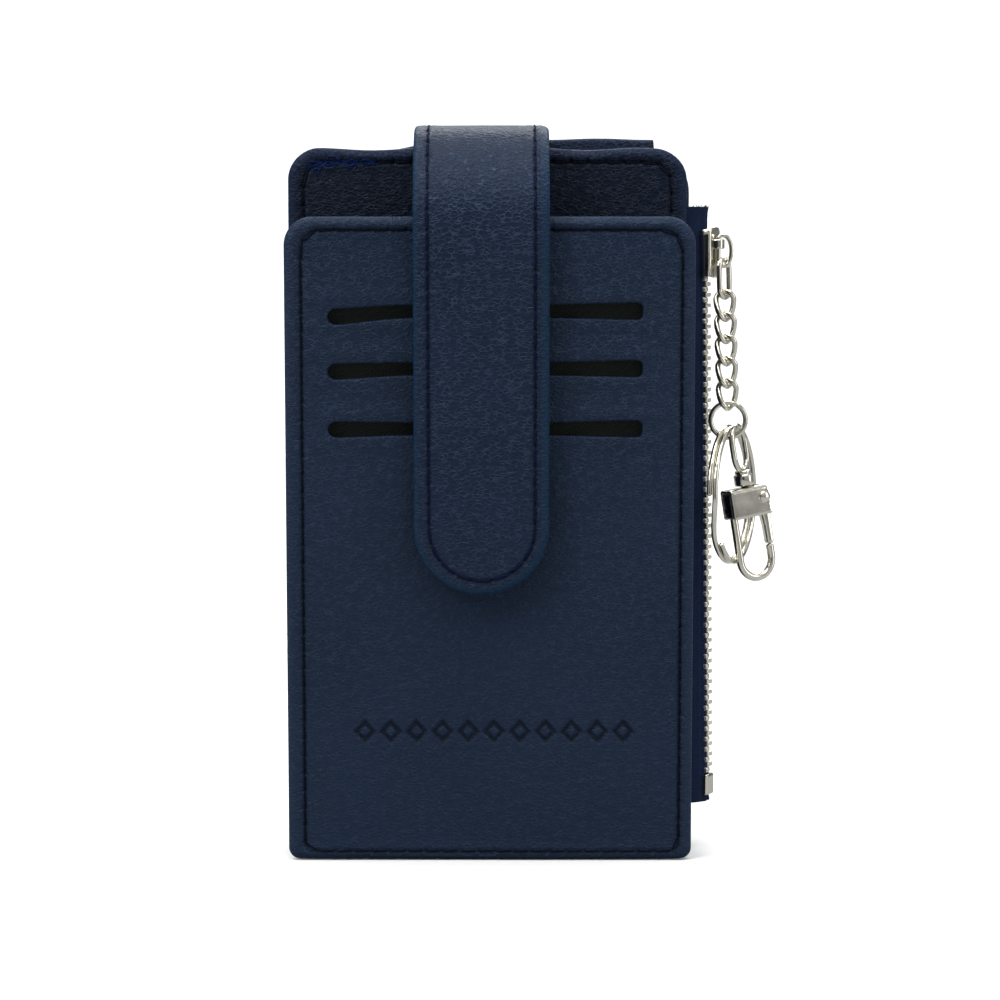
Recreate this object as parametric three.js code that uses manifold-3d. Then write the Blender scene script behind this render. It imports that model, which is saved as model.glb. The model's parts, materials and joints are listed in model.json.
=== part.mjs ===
// Slim upright card and coin wallet with a closing strap, a side zip section and a key chain.
// Units are millimetres, +Z is up, +X is the zip side and -Y is the front.
// The origin is the middle of the bottom face of the zip section.
import * as THREE from 'three';
import { mergeVertices } from 'three/addons/utils/BufferGeometryUtils.js';
import Module from 'manifold-3d';

const wasm = await Module();
wasm.setup();

// ---- driving dimensions ----
const BODY_WIDTH = 72; // width of every leather panel
const FRONT_HEIGHT = 115;
const MIDDLE_HEIGHT = 126.9;
const MIDDLE_RIGHT = 35.1; // the middle panel stops short of the zip tape
const BACK_HEIGHT = 128.7;
const CORNER = 5; // upper corner radius of the panels
const BOTTOM_CORNER = 2;
const LEATHER = 1.6; // panel thickness
const LINING = 0.5;
const GAP = 0.3; // clearance between neighbouring pieces
const POCKET_HALF = 3; // half depth of the zip section between its panels
const LEAN = THREE.MathUtils.degToRad(2.75); // the front section leans forward from its base
const LEAN_PIVOT_Y = -7;
const LEAN_PIVOT_Z = 0.6;
const FRONT_FACE_Y = -12.3; // front face of the front panel before it leans
const SLOT_HEIGHTS = [98.5, 88.4, 77.8]; // middles of the three card slots
const SLOT_LEFT = -28.4;
const SLOT_RIGHT = 26.8;
const SLOT_OPENING = 3;
const STRAP_WIDTH = 23.8;
const STRAP_CENTRE_X = -1.45;
const STRAP_THICKNESS = 1.9;
const STRAP_TIP_Z = 48.4;
const STRAP_TIP_RADIUS = 11.8;
const BACK_HINGE = [6.2, 129]; // Y and Z of the bend behind the top edge
const FRONT_HINGE = [-7.1, 129.6]; // Y and Z of the bend above the mouth
const HINGE_CLEARANCE = 1.35;
const SNAP_Z = 60; // height of the concealed snap on the front panel
const TAPE_BOTTOM = 8.5;
const TAPE_TOP = 116.5;
const TOOTH_PITCH = 1.9;
const TOOTH_THICKNESS = 0.75;
const TEETH_BOTTOM = 13.9;
const TEETH_COUNT = 52;
const ZIP_LINE_X = 38.6; // the teeth stand on this upright line
const ZIP_TURN = THREE.MathUtils.degToRad(28); // the closed zip faces right and a little forward
const TOOTH_DEPTH = [-0.1, 1.3];
const SLIDER_Z = [103.9, 112.8];
const SLIDER_PLATE = [1.6, 2.2];
const BAIL_BAR = 2.75; // distance of the pull ring's straight side from the zip line
const PULL_BOTTOM = 105.95;
const PULL_REACH = 0.98; // from the straight side to where the first link hangs
const CHAIN_SLANT = THREE.MathUtils.degToRad(1.7); // down and away from the zip
const CHAIN_FORWARD = THREE.MathUtils.degToRad(3.3); // down and in front of the teeth
const LINK_WIRE = 0.475; // wire radius of the chain links
const LINK_PITCH = 4;
const LINK_HALF_WIDTH = 1.6;
const CONTACT = 0.1; // clearance between two linked wires
const JUMP_RADIUS = 3.12;
const SPLIT_RADIUS = 12.1;
const SPLIT_WIRE = 0.46;
const SPLIT_OFFSET = 0.52; // each coil lies this far from the middle of the key ring
const HOOK_TILT = THREE.MathUtils.degToRad(9);
const HOOK_YAW = THREE.MathUtils.degToRad(20);
const HOOK_WIRE = 0.72;
const HOOK_HALF_WIDTH = 3.3;

// ---- materials ----
const leather = (color) => ({ color, roughness: 0.55, metalness: 0 });
const LOOKS = {
  front: leather(0x222b3b),
  middle: leather(0x1c2431),
  back: leather(0x1f2937),
  strap: leather(0x232e3f),
  lining: { color: 0x121416, roughness: 0.95, metalness: 0 },
  tape: { color: 0x1b2234, roughness: 0.9, metalness: 0 },
  nickel: { color: 0xb9b5a3, roughness: 0.25, metalness: 1 },
};

// ---- shape helpers ----
function solid(geometry) {
  const bare = geometry.index ? geometry.toNonIndexed() : geometry.clone();
  bare.deleteAttribute('normal');
  bare.deleteAttribute('uv');
  const merged = mergeVertices(bare, 1e-4);
  const mesh = new wasm.Mesh({
    numProp: 3,
    vertProperties: new Float32Array(merged.attributes.position.array),
    triVerts: new Uint32Array(merged.index.array),
  });
  return new wasm.Manifold(mesh);
}

function surface(manifold) {
  const mesh = manifold.getMesh();
  const geometry = new THREE.BufferGeometry();
  geometry.setAttribute('position', new THREE.BufferAttribute(mesh.vertProperties, 3));
  geometry.setIndex(new THREE.BufferAttribute(mesh.triVerts, 1));
  return geometry;
}

function join(first, ...others) {
  let result = solid(first);
  for (const other of others) {
    result = result.add(solid(other));
  }
  return surface(result);
}

function cut(first, ...others) {
  let result = solid(first);
  for (const other of others) {
    result = result.subtract(solid(other));
  }
  return surface(result);
}

function intersect(first, other) {
  return surface(solid(first).intersect(solid(other)));
}

function box(x0, x1, y0, y1, z0, z1) {
  const geometry = new THREE.BoxGeometry(x1 - x0, y1 - y0, z1 - z0);
  geometry.translate((x0 + x1) / 2, (y0 + y1) / 2, (z0 + z1) / 2);
  return geometry;
}

function polygon(points) {
  return new THREE.Shape(points.map(([a, b]) => new THREE.Vector2(a, b)));
}

function extrude(shape, depth, curveSegments = 5) {
  return new THREE.ExtrudeGeometry(shape, { depth, bevelEnabled: false, curveSegments });
}

// An outline drawn in X and Z, made into a sheet from y0 to y1.
function sheet(shape, y0, y1, curveSegments = 5) {
  const geometry = extrude(shape, y1 - y0, curveSegments);
  geometry.rotateX(Math.PI / 2);
  geometry.translate(0, y1, 0);
  return geometry;
}

// An outline drawn in Y and Z, made into a bar from x0 to x1.
function bar(points, x0, x1) {
  const geometry = extrude(polygon(points), x1 - x0);
  const swap = new THREE.Matrix4().makeBasis(
    new THREE.Vector3(0, 1, 0),
    new THREE.Vector3(0, 0, 1),
    new THREE.Vector3(1, 0, 0),
  );
  geometry.applyMatrix4(swap);
  geometry.translate(x0, 0, 0);
  return geometry;
}

function roundedOutline(x0, x1, z0, z1, top, bottom) {
  const shape = new THREE.Shape();
  shape.moveTo(x0 + bottom, z0);
  shape.lineTo(x1 - bottom, z0);
  shape.absarc(x1 - bottom, z0 + bottom, bottom, -Math.PI / 2, 0);
  shape.lineTo(x1, z1 - top);
  shape.absarc(x1 - top, z1 - top, top, 0, Math.PI / 2);
  shape.lineTo(x0 + top, z1);
  shape.absarc(x0 + top, z1 - top, top, Math.PI / 2, Math.PI);
  shape.lineTo(x0, z0 + bottom);
  shape.absarc(x0 + bottom, z0 + bottom, bottom, Math.PI, Math.PI * 1.5);
  return shape;
}

// A strip of leather or tape: the outline around a bent middle line between two offsets.
function stripOutline(line, low, high) {
  const sides = [low, high].map((offset) => line.map(([a, b], i) => {
    const before = line[Math.max(i - 1, 0)];
    const after = line[Math.min(i + 1, line.length - 1)];
    const along = new THREE.Vector2(after[0] - before[0], after[1] - before[1]).normalize();
    return [a - along.y * offset, b + along.x * offset];
  }));
  return [...sides[0], ...sides[1].reverse()];
}

function cylinderAlongY(radius, y0, y1, segments = 16) {
  const geometry = new THREE.CylinderGeometry(radius, radius, y1 - y0, segments);
  geometry.translate(0, (y0 + y1) / 2, 0);
  return geometry;
}

function cylinderAlongZ(radius, z0, z1, segments = 16) {
  const geometry = new THREE.CylinderGeometry(radius, radius, z1 - z0, segments);
  geometry.rotateX(Math.PI / 2);
  geometry.translate(0, 0, (z0 + z1) / 2);
  return geometry;
}

function wireSection(radius, sides) {
  const points = [];
  for (let i = 0; i < sides; i += 1) {
    const angle = (i / sides) * Math.PI * 2;
    points.push([Math.cos(angle) * radius, Math.sin(angle) * radius]);
  }
  return polygon(points);
}

function openWire(curve, radius, steps, sides = 8) {
  return new THREE.ExtrudeGeometry(wireSection(radius, sides), {
    steps,
    bevelEnabled: false,
    extrudePath: curve,
  });
}

// A closed link seen along Y: two straight sides and two round ends, turned about Z on its way down.
class LinkCurve extends THREE.Curve {
  constructor(halfWidth, length, topAngle, bottomAngle) {
    super();
    this.halfWidth = halfWidth;
    this.length = length;
    this.topAngle = topAngle;
    this.bottomAngle = bottomAngle;
  }

  getPoint(t, target = new THREE.Vector3()) {
    const r = this.halfWidth;
    const straight = this.length - 2 * r;
    const total = 2 * straight + 2 * Math.PI * r;
    let s = (((t % 1) + 1) % 1) * total;
    let u = 0;
    let w = 0;
    if (s < Math.PI * r) {
      u = r * Math.cos(s / r);
      w = -r + r * Math.sin(s / r);
    } else if (s < Math.PI * r + straight) {
      s -= Math.PI * r;
      u = -r;
      w = -r - s;
    } else if (s < 2 * Math.PI * r + straight) {
      s -= Math.PI * r + straight;
      u = -r * Math.cos(s / r);
      w = -r - straight - r * Math.sin(s / r);
    } else {
      s -= 2 * Math.PI * r + straight;
      u = r;
      w = -r - straight + s;
    }
    const share = -w / this.length;
    const angle = this.topAngle + (this.bottomAngle - this.topAngle) * share;
    return target.set(u * Math.cos(angle), u * Math.sin(angle), w);
  }
}

function link(halfWidth, length, topAngle, bottomAngle, wire) {
  const curve = new LinkCurve(halfWidth, length, topAngle, bottomAngle);
  return new THREE.TubeGeometry(curve, 24, wire, 6, true);
}

// ---- scene graph ----
const wallet = new THREE.Group();

function add(parent, name, geometry, look) {
  const mesh = new THREE.Mesh(geometry, new THREE.MeshStandardMaterial(look));
  mesh.name = name;
  parent.add(mesh);
  return mesh;
}

const half = BODY_WIDTH / 2;
const pocketBack = POCKET_HALF + GAP;

// ---- zip section: two panels, their linings and the folded strip round three sides ----
add(
  wallet,
  'back_panel',
  sheet(roundedOutline(-half, half, 0, BACK_HEIGHT, CORNER, BOTTOM_CORNER), pocketBack, pocketBack + LEATHER),
  LOOKS.back,
);
const middleOutline = roundedOutline(-half, MIDDLE_RIGHT, 0, MIDDLE_HEIGHT, CORNER, BOTTOM_CORNER);
add(wallet, 'middle_panel', sheet(middleOutline, -pocketBack - LEATHER, -pocketBack), LOOKS.middle);
const liningOutline = roundedOutline(-33.6, 33.5, 1.7, 125, 3, 1);
add(wallet, 'back_lining', sheet(liningOutline, POCKET_HALF - LINING, POCKET_HALF), LOOKS.lining);
add(wallet, 'middle_lining', sheet(liningOutline, -POCKET_HALF, LINING - POCKET_HALF), LOOKS.lining);
const gussetOutline = polygon([
  [33.5, 0],
  [33.5, 1.4],
  [-33.9, 1.4],
  [-33.9, 125.3],
  [33.5, 125.3],
  [33.5, 126.5],
  [-33.5, 126.5],
  [-35.1, 124.9],
  [-35.1, 0],
]);
add(wallet, 'pocket_gusset', sheet(gussetOutline, -POCKET_HALF, POCKET_HALF), LOOKS.back);

// ---- front section, leaning forward from the base ----
const front = new THREE.Group();
front.position.set(0, LEAN_PIVOT_Y, LEAN_PIVOT_Z);
front.rotation.x = LEAN;
wallet.add(front);

function frontSheet(shape, y0, y1, curveSegments = 5) {
  const geometry = sheet(shape, y0, y1, curveSegments);
  geometry.translate(0, -LEAN_PIVOT_Y, -LEAN_PIVOT_Z);
  return geometry;
}

function slotHole(z) {
  const hole = new THREE.Path();
  const rise = SLOT_OPENING / 2;
  hole.moveTo(SLOT_LEFT, z);
  hole.quadraticCurveTo(SLOT_LEFT + 0.3, z - rise * 0.8, SLOT_LEFT + 6, z - rise);
  hole.lineTo(SLOT_RIGHT - 6, z - rise);
  hole.quadraticCurveTo(SLOT_RIGHT - 0.3, z - rise * 0.9, SLOT_RIGHT, z);
  hole.quadraticCurveTo(SLOT_RIGHT - 0.3, z + rise * 0.9, SLOT_RIGHT - 6, z + rise);
  hole.lineTo(SLOT_LEFT + 6, z + rise);
  hole.quadraticCurveTo(SLOT_LEFT + 0.3, z + rise * 0.8, SLOT_LEFT, z);
  return hole;
}

const frontOutline = roundedOutline(-half, half, 0.3, FRONT_HEIGHT, CORNER, BOTTOM_CORNER);
frontOutline.holes = SLOT_HEIGHTS.map(slotHole);
const frontBack = FRONT_FACE_Y + 1.7;
add(front, 'front_panel', frontSheet(frontOutline, FRONT_FACE_Y, frontBack), LOOKS.front);
const POCKETS = [
  ['card_pocket_top', 58, 102],
  ['card_pocket_middle', 46, 101],
  ['card_pocket_low', 34, 100],
];
const pocketPitch = LINING + 0.1 + GAP;
POCKETS.forEach(([name, low, high], i) => {
  const rear = frontBack + GAP + i * pocketPitch + LINING + 0.1;
  const outline = roundedOutline(-31.5, 31.5, low, high, 1.5, 1.5);
  add(front, name, frontSheet(outline, rear - LINING - 0.1, rear, 2), LOOKS.lining);
});
const frontLiningBack = LEAN_PIVOT_Y;
add(
  front,
  'front_lining',
  frontSheet(roundedOutline(-35, 35, 1, FRONT_HEIGHT - 1, CORNER - 1, 1.5), frontLiningBack - 0.6, frontLiningBack),
  LOOKS.middle,
);
add(
  wallet,
  'base_gusset',
  box(-34, 34, LEAN_PIVOT_Y + GAP, -pocketBack - LEATHER - GAP, 0.4, 6),
  LOOKS.middle,
);
const gussetSide = [
  [-pocketBack - LEATHER - GAP, 6.4],
  [-pocketBack - LEATHER - GAP, 111],
  [LEAN_PIVOT_Y + GAP - Math.sin(LEAN) * 110, 111],
  [LEAN_PIVOT_Y + GAP - Math.sin(LEAN) * 5.8, 6.4],
];
add(wallet, 'gusset_left', bar(gussetSide, -34.6, -33.8), LOOKS.middle);
add(wallet, 'gusset_right', bar(gussetSide, 33.8, 34.6), LOOKS.middle);

// ---- concealed snap: the stud on the front panel and the socket under the strap ----
const snap = new THREE.Group();
snap.position.set(STRAP_CENTRE_X, FRONT_FACE_Y - LEAN_PIVOT_Y, SNAP_Z);
front.add(snap);
add(
  snap,
  'snap_stud',
  join(cylinderAlongY(5, -1, -0.3, 20), cylinderAlongY(1.7, -1.6, -0.9, 12)),
  LOOKS.nickel,
);
add(snap, 'snap_socket', cut(cylinderAlongY(5.2, -1.95, -1.3, 20), cylinderAlongY(2.1, -2.5, -1, 12)), LOOKS.nickel);

// ---- closing strap: sewn root behind, bridge over the top, tongue down the front ----
const strapLeft = STRAP_CENTRE_X - STRAP_WIDTH / 2;
const strapRight = STRAP_CENTRE_X + STRAP_WIDTH / 2;
const anchorFront = pocketBack + LEATHER + GAP;
add(
  wallet,
  'strap_anchor',
  box(strapLeft, strapRight, anchorFront, anchorFront + 1.8, 92, BACK_HINGE[1] - HINGE_CLEARANCE),
  LOOKS.strap,
);
const bridgeLine = [
  BACK_HINGE,
  [5.6, 129.65],
  [4.5, 130],
  [-2, 130],
  [FRONT_HINGE[0] + HINGE_CLEARANCE, FRONT_HINGE[1] + 0.2],
];
add(
  wallet,
  'strap_bridge',
  bar(stripOutline(bridgeLine, -STRAP_THICKNESS / 2, STRAP_THICKNESS / 2), strapLeft, strapRight),
  LOOKS.strap,
);

// The tongue hangs this far in front of the leaning front panel, above the snap.
const tongueOffset = 2.2 + STRAP_THICKNESS / 2;
function tonguePoint(z) {
  const y = FRONT_FACE_Y + 0.01 - tongueOffset - Math.sin(LEAN) * (z - LEAN_PIVOT_Z);
  return [y, z];
}
const tongueLine = [
  FRONT_HINGE,
  [-9.4, 129.3],
  [-12.2, 128],
  [-15.4, 125.2],
  [-18.7, 121],
  [-20.6, 117],
  tonguePoint(112),
  tonguePoint(80),
  tonguePoint(STRAP_TIP_Z),
];
const tongueOutline = roundedOutline(strapLeft, strapRight, STRAP_TIP_Z, 140, 1, STRAP_TIP_RADIUS);
const tongueBlock = sheet(tongueOutline, -40, 0, 6);
function tongueLayer(low, high) {
  return intersect(bar(stripOutline(tongueLine, low, high), strapLeft - 1, strapRight + 1), tongueBlock);
}
add(wallet, 'strap_tongue', tongueLayer(-STRAP_THICKNESS / 2, 0), LOOKS.strap);
add(wallet, 'strap_lining', tongueLayer(GAP, STRAP_THICKNESS / 2), LOOKS.middle);

// ---- zip: two tapes, two combs of teeth and their stops ----
function tape(line) {
  const geometry = extrude(polygon(stripOutline(line, -0.22, 0.22)), TAPE_TOP - TAPE_BOTTOM);
  geometry.translate(0, 0, TAPE_BOTTOM);
  return geometry;
}
const frontTape = [
  [34.1, -2.65],
  [35.6, -2.65],
  [36.6, -2.2],
  [37.3, -1.4],
  [37.72, -0.45],
];
const backTape = [
  [38.42, 0.95],
  [38.1, 1.6],
  [37.4, 2.25],
  [36.4, 2.65],
  [34.1, 2.65],
];
add(wallet, 'zip_tape_front', tape(frontTape), LOOKS.tape);
add(wallet, 'zip_tape_back', tape(backTape), LOOKS.tape);

// From here X points out of the zip and Y runs across its teeth.
const zip = new THREE.Group();
zip.position.x = ZIP_LINE_X;
zip.rotation.z = -ZIP_TURN;
wallet.add(zip);

// Comb outline in Y and Z: a straight bead with one tooth at every pitch.
function comb(side, start) {
  const root = 0.85 * side;
  const tip = -0.45 * side;
  const edge = 1.5 * side;
  const top = start + (TEETH_COUNT - 1) * TOOTH_PITCH + TOOTH_THICKNESS;
  const points = [[edge, start]];
  for (let i = 0; i < TEETH_COUNT; i += 1) {
    const z = start + i * TOOTH_PITCH;
    if (i > 0) {
      points.push([root, z]);
    }
    points.push([tip, z], [tip, z + TOOTH_THICKNESS]);
    if (i < TEETH_COUNT - 1) {
      points.push([root, z + TOOTH_THICKNESS]);
    }
  }
  points.push([edge, top]);
  return bar(points, ...TOOTH_DEPTH);
}
add(zip, 'zip_teeth_front', comb(-1, TEETH_BOTTOM), LOOKS.nickel);
add(zip, 'zip_teeth_back', comb(1, TEETH_BOTTOM + TOOTH_PITCH / 2), LOOKS.nickel);
add(zip, 'zip_bottom_stop', box(-0.2, 1.4, -1.6, 1.6, 9.7, 13.5), LOOKS.nickel);
add(zip, 'zip_top_stop_front', box(-0.2, 1.3, -1.7, -0.5, 113.4, 115.2), LOOKS.nickel);
add(zip, 'zip_top_stop_back', box(-0.2, 1.3, 0.5, 1.7, 114.3, 116.1), LOOKS.nickel);

// ---- slider: a channel over the teeth with a cross bail, and its plate inside the pocket ----
const plateOutline = [
  [-1.8, SLIDER_Z[0]],
  [1.8, SLIDER_Z[0]],
  [2.2, SLIDER_Z[0] + 1.2],
  [2.3, SLIDER_Z[1] - 0.9],
  [1.6, SLIDER_Z[1]],
  [-1.6, SLIDER_Z[1]],
  [-2.3, SLIDER_Z[1] - 0.9],
  [-2.2, SLIDER_Z[0] + 1.2],
];
const sliderBlock = bar(plateOutline, 0.15, SLIDER_PLATE[1]);
const toothChannel = box(-1, SLIDER_PLATE[0], -1.75, 1.75, 100, 115);
const bailZ = [PULL_BOTTOM + 3, PULL_BOTTOM + 4.7];
const bailBlock = box(SLIDER_PLATE[1] - 0.2, BAIL_BAR + 1.1, -1.3, 1.3, ...bailZ);
const bailHole = box(SLIDER_PLATE[1], BAIL_BAR + 0.55, -0.75, 0.75, 105, 113);
add(zip, 'slider_body', cut(join(sliderBlock, bailBlock), toothChannel, bailHole), LOOKS.nickel);
add(zip, 'slider_inner_plate', box(-1.9, -1.4, -1.4, 0.6, 104.4, 112.4), LOOKS.nickel);

// ---- pull ring: a D-shaped ring whose straight side turns in the bail ----
const pull = new THREE.Group();
pull.position.set(
  ZIP_LINE_X + BAIL_BAR * Math.cos(ZIP_TURN),
  -BAIL_BAR * Math.sin(ZIP_TURN),
  PULL_BOTTOM,
);
wallet.add(pull);
const pullPoints = [
  [0, 4.85],
  [0, 3.6],
  [0, 1.9],
  [0, 0.65],
  [0.2, 0.15],
  [0.6, -0.03],
  [1.35, 0.02],
  [1.97, 0.85],
  [2.3, 2.65],
  [1.95, 4.5],
  [1.2, 5.32],
  [0.35, 5.3],
];
const pullCurve = new THREE.CatmullRomCurve3(
  pullPoints.map(([x, z]) => new THREE.Vector3(x, 0, z)),
  true,
);
add(pull, 'pull_ring', new THREE.TubeGeometry(pullCurve, 30, 0.4, 8, true), LOOKS.nickel);

// ---- chain: one long link and five twisted links, hanging from the pull ring ----
const chain = new THREE.Group();
chain.position.x = PULL_REACH;
chain.rotation.set(-CHAIN_FORWARD, -CHAIN_SLANT, 0);
pull.add(chain);
const UPPER_TURN = THREE.MathUtils.degToRad(-28);
const LOWER_TURN = THREE.MathUtils.degToRad(62);
const FIRST_TURN = THREE.MathUtils.degToRad(64);
const linkStep = 2 * LINK_WIRE + CONTACT;
let wireZ = 0.4 + 2.5 * CONTACT + LINK_WIRE;
const firstLength = 6.8;
const firstLink = add(chain, 'link_1', link(1.6, firstLength, FIRST_TURN, FIRST_TURN, LINK_WIRE), LOOKS.nickel);
firstLink.position.z = wireZ;
wireZ += linkStep - firstLength;
const curbLength = LINK_PITCH + linkStep;
for (let i = 2; i <= 6; i += 1) {
  const geometry = link(LINK_HALF_WIDTH, curbLength, UPPER_TURN, LOWER_TURN, LINK_WIRE);
  const mesh = add(chain, `link_${i}`, geometry, LOOKS.nickel);
  mesh.position.z = wireZ;
  wireZ -= LINK_PITCH;
}

// ---- jump ring, open by a small cut at its upper right ----
const jump = new THREE.Group();
jump.position.z = wireZ - JUMP_RADIUS;
chain.add(jump);
class ArcCurve extends THREE.Curve {
  constructor(radius, start, end) {
    super();
    this.radius = radius;
    this.start = start;
    this.end = end;
  }

  getPoint(t, target = new THREE.Vector3()) {
    const angle = this.start + (this.end - this.start) * t;
    return target.set(Math.cos(angle) * this.radius, 0, Math.sin(angle) * this.radius);
  }
}
const jumpCut = THREE.MathUtils.degToRad(58);
const jumpArc = new ArcCurve(JUMP_RADIUS, jumpCut + 0.06, jumpCut + Math.PI * 2 - 0.06);
add(jump, 'jump_ring', openWire(jumpArc, 0.47, 28), LOOKS.nickel);

// ---- split key ring: two coils side by side with one step between them ----
class SplitRingCurve extends THREE.Curve {
  getPoint(t, target = new THREE.Vector3()) {
    const clear = 0.42;
    const angle = clear + (4 * Math.PI - 2 * clear) * t;
    const rise = THREE.MathUtils.clamp((angle - 2 * Math.PI) / clear, -1, 1);
    const offset = SPLIT_OFFSET * Math.sin(rise * Math.PI / 2);
    const turned = angle - 1.9;
    return target.set(offset, Math.sin(turned) * SPLIT_RADIUS, Math.cos(turned) * SPLIT_RADIUS);
  }
}
const keyRing = new THREE.Group();
keyRing.position.set(-0.8, 0, -1.3);
keyRing.rotation.set(CHAIN_FORWARD, CHAIN_SLANT, THREE.MathUtils.degToRad(-10));
jump.add(keyRing);
const splitRing = add(keyRing, 'split_ring', openWire(new SplitRingCurve(), SPLIT_WIRE, 76), LOOKS.nickel);
splitRing.position.z = -SPLIT_RADIUS;

// ---- snap hook: swivel eye, channel body, wire hook and spring gate ----
const hook = new THREE.Group();
hook.position.set(1.35, 0, -1.15);
hook.rotation.set(CHAIN_FORWARD, CHAIN_SLANT - HOOK_TILT, 0);
jump.add(hook);
const eyeDrop = 8.2; // from the middle of the eye wire down to the barrel
const eyeYaw = THREE.MathUtils.degToRad(65);
const eyeCurve = new LinkCurve(3.1, eyeDrop, 0, 0);
const eyeLoop = new THREE.TubeGeometry(eyeCurve, 28, 0.55, 8, true);
const swivel = -eyeDrop - 2.9; // top face of the hook body
const barrel = cylinderAlongZ(1.6, swivel + GAP, -eyeDrop + 0.2, 16);
const pin = cylinderAlongZ(0.7, swivel - 1.8, swivel + 0.6, 12);
const pinHead = cylinderAlongZ(1.15, swivel - 1.8, swivel - 1.1, 12);
const eye = add(hook, 'hook_eye', join(eyeLoop, barrel, pin, pinHead), LOOKS.nickel);
eye.rotation.z = eyeYaw;

const body = new THREE.Group();
body.position.z = swivel;
body.rotation.z = HOOK_YAW;
hook.add(body);
const gatePivot = [3.3, -2.2];
const channelOutline = new THREE.Shape();
channelOutline.moveTo(-4.7, 0);
channelOutline.lineTo(-4.7, -5.6);
channelOutline.lineTo(4.9, -5.6);
channelOutline.lineTo(4.9, -1.6);
channelOutline.absarc(3.3, -1.6, 1.6, 0, Math.PI / 2);
channelOutline.lineTo(-4.7, 0);
const rivetHole = cylinderAlongY(0.75, -3, 3, 16);
rivetHole.translate(gatePivot[0], 0, gatePivot[1]);
const pinHole = cylinderAlongZ(1, -2, 1, 16);
const channel = cut(
  sheet(channelOutline, -2, 2, 4),
  box(-5.5, 5.5, -1.4, 1.4, -7, -0.8),
  rivetHole,
  pinHole,
);
add(body, 'hook_body', channel, LOOKS.nickel);

class HookCurve extends THREE.Curve {
  getPoint(t, target = new THREE.Vector3()) {
    const down = 10.2;
    const up = 1.9;
    const arc = Math.PI * HOOK_HALF_WIDTH;
    let s = t * (down + arc + up);
    if (s < down) {
      return target.set(-HOOK_HALF_WIDTH, 0, -3 - s);
    }
    s -= down;
    if (s < arc) {
      const angle = s / HOOK_HALF_WIDTH;
      const x = -HOOK_HALF_WIDTH * Math.cos(angle);
      return target.set(x, 0, -3 - down - HOOK_HALF_WIDTH * Math.sin(angle));
    }
    s -= arc;
    return target.set(HOOK_HALF_WIDTH, 0, -3 - down + s);
  }
}
const hookRoot = box(-4.4, -2, -1.1, 1.1, -5.2, -1.1);
add(body, 'hook_wire', join(openWire(new HookCurve(), HOOK_WIRE, 34), hookRoot), LOOKS.nickel);

// The gate turns on its rivet and its lower end closes on the nose of the wire hook.
const gateOutline = new THREE.Shape();
gateOutline.moveTo(gatePivot[0] - 1.25, gatePivot[1]);
gateOutline.lineTo(2.65, -10.9);
gateOutline.lineTo(3.95, -10.9);
gateOutline.lineTo(gatePivot[0] + 1.25, gatePivot[1]);
gateOutline.absarc(gatePivot[0], gatePivot[1], 1.25, 0, Math.PI);
const gateHole = cylinderAlongY(0.75, -3, 3, 16);
gateHole.translate(gatePivot[0], 0, gatePivot[1]);
add(body, 'hook_gate', cut(sheet(gateOutline, -0.85, 0.85), gateHole), LOOKS.nickel);
const rivetShaft = cylinderAlongY(0.5, -2.2, 2.2, 12);
const rivetHeads = [cylinderAlongY(1.05, -2.45, -2.1, 16), cylinderAlongY(1.05, 2.1, 2.45, 16)];
const rivet = join(rivetShaft, ...rivetHeads);
rivet.translate(gatePivot[0], 0, gatePivot[1]);
add(body, 'gate_rivet', rivet, LOOKS.nickel);
add(body, 'gate_spring', box(-1.7, 1.2, -0.8, 0.8, -3.4, -3.1), LOOKS.nickel);

export default wallet;
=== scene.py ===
"""Looks of the slim card and coin wallet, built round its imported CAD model.

Lengths in the code are millimetres unless a name or comment says otherwise; every
mesh is scaled to metres as it is made. X is to the right, Y to the back, Z up.
"""

import json
import math

import bpy
import numpy as np
from mathutils import Matrix, Vector
from mathutils.kdtree import KDTree
from mathutils.geometry import delaunay_2d_cdt


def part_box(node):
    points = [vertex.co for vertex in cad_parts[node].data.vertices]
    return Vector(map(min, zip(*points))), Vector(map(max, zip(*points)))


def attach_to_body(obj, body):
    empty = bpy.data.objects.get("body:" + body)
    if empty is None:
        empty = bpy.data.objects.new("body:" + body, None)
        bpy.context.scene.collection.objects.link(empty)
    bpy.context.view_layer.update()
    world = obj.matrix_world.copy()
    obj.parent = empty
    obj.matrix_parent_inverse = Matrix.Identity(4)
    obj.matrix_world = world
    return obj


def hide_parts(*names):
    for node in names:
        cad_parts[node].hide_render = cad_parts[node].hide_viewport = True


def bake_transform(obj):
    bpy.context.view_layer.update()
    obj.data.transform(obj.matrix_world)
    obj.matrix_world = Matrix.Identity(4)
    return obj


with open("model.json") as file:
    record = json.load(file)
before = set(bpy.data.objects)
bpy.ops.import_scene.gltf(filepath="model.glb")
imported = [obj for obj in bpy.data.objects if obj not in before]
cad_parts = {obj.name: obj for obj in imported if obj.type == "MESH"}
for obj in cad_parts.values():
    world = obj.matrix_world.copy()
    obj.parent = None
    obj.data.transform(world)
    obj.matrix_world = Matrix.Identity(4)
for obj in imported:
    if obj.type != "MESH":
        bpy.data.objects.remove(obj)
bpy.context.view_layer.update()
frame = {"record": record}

MM = 0.001

# ---- camera ----
AIM = Vector((1.8, -3.7, 63.9))
CAMERA_DISTANCE = 554.6
CAMERA_PITCH = math.radians(5)
CAMERA_LENS = 110.9
CAMERA_SENSOR = 36

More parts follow.
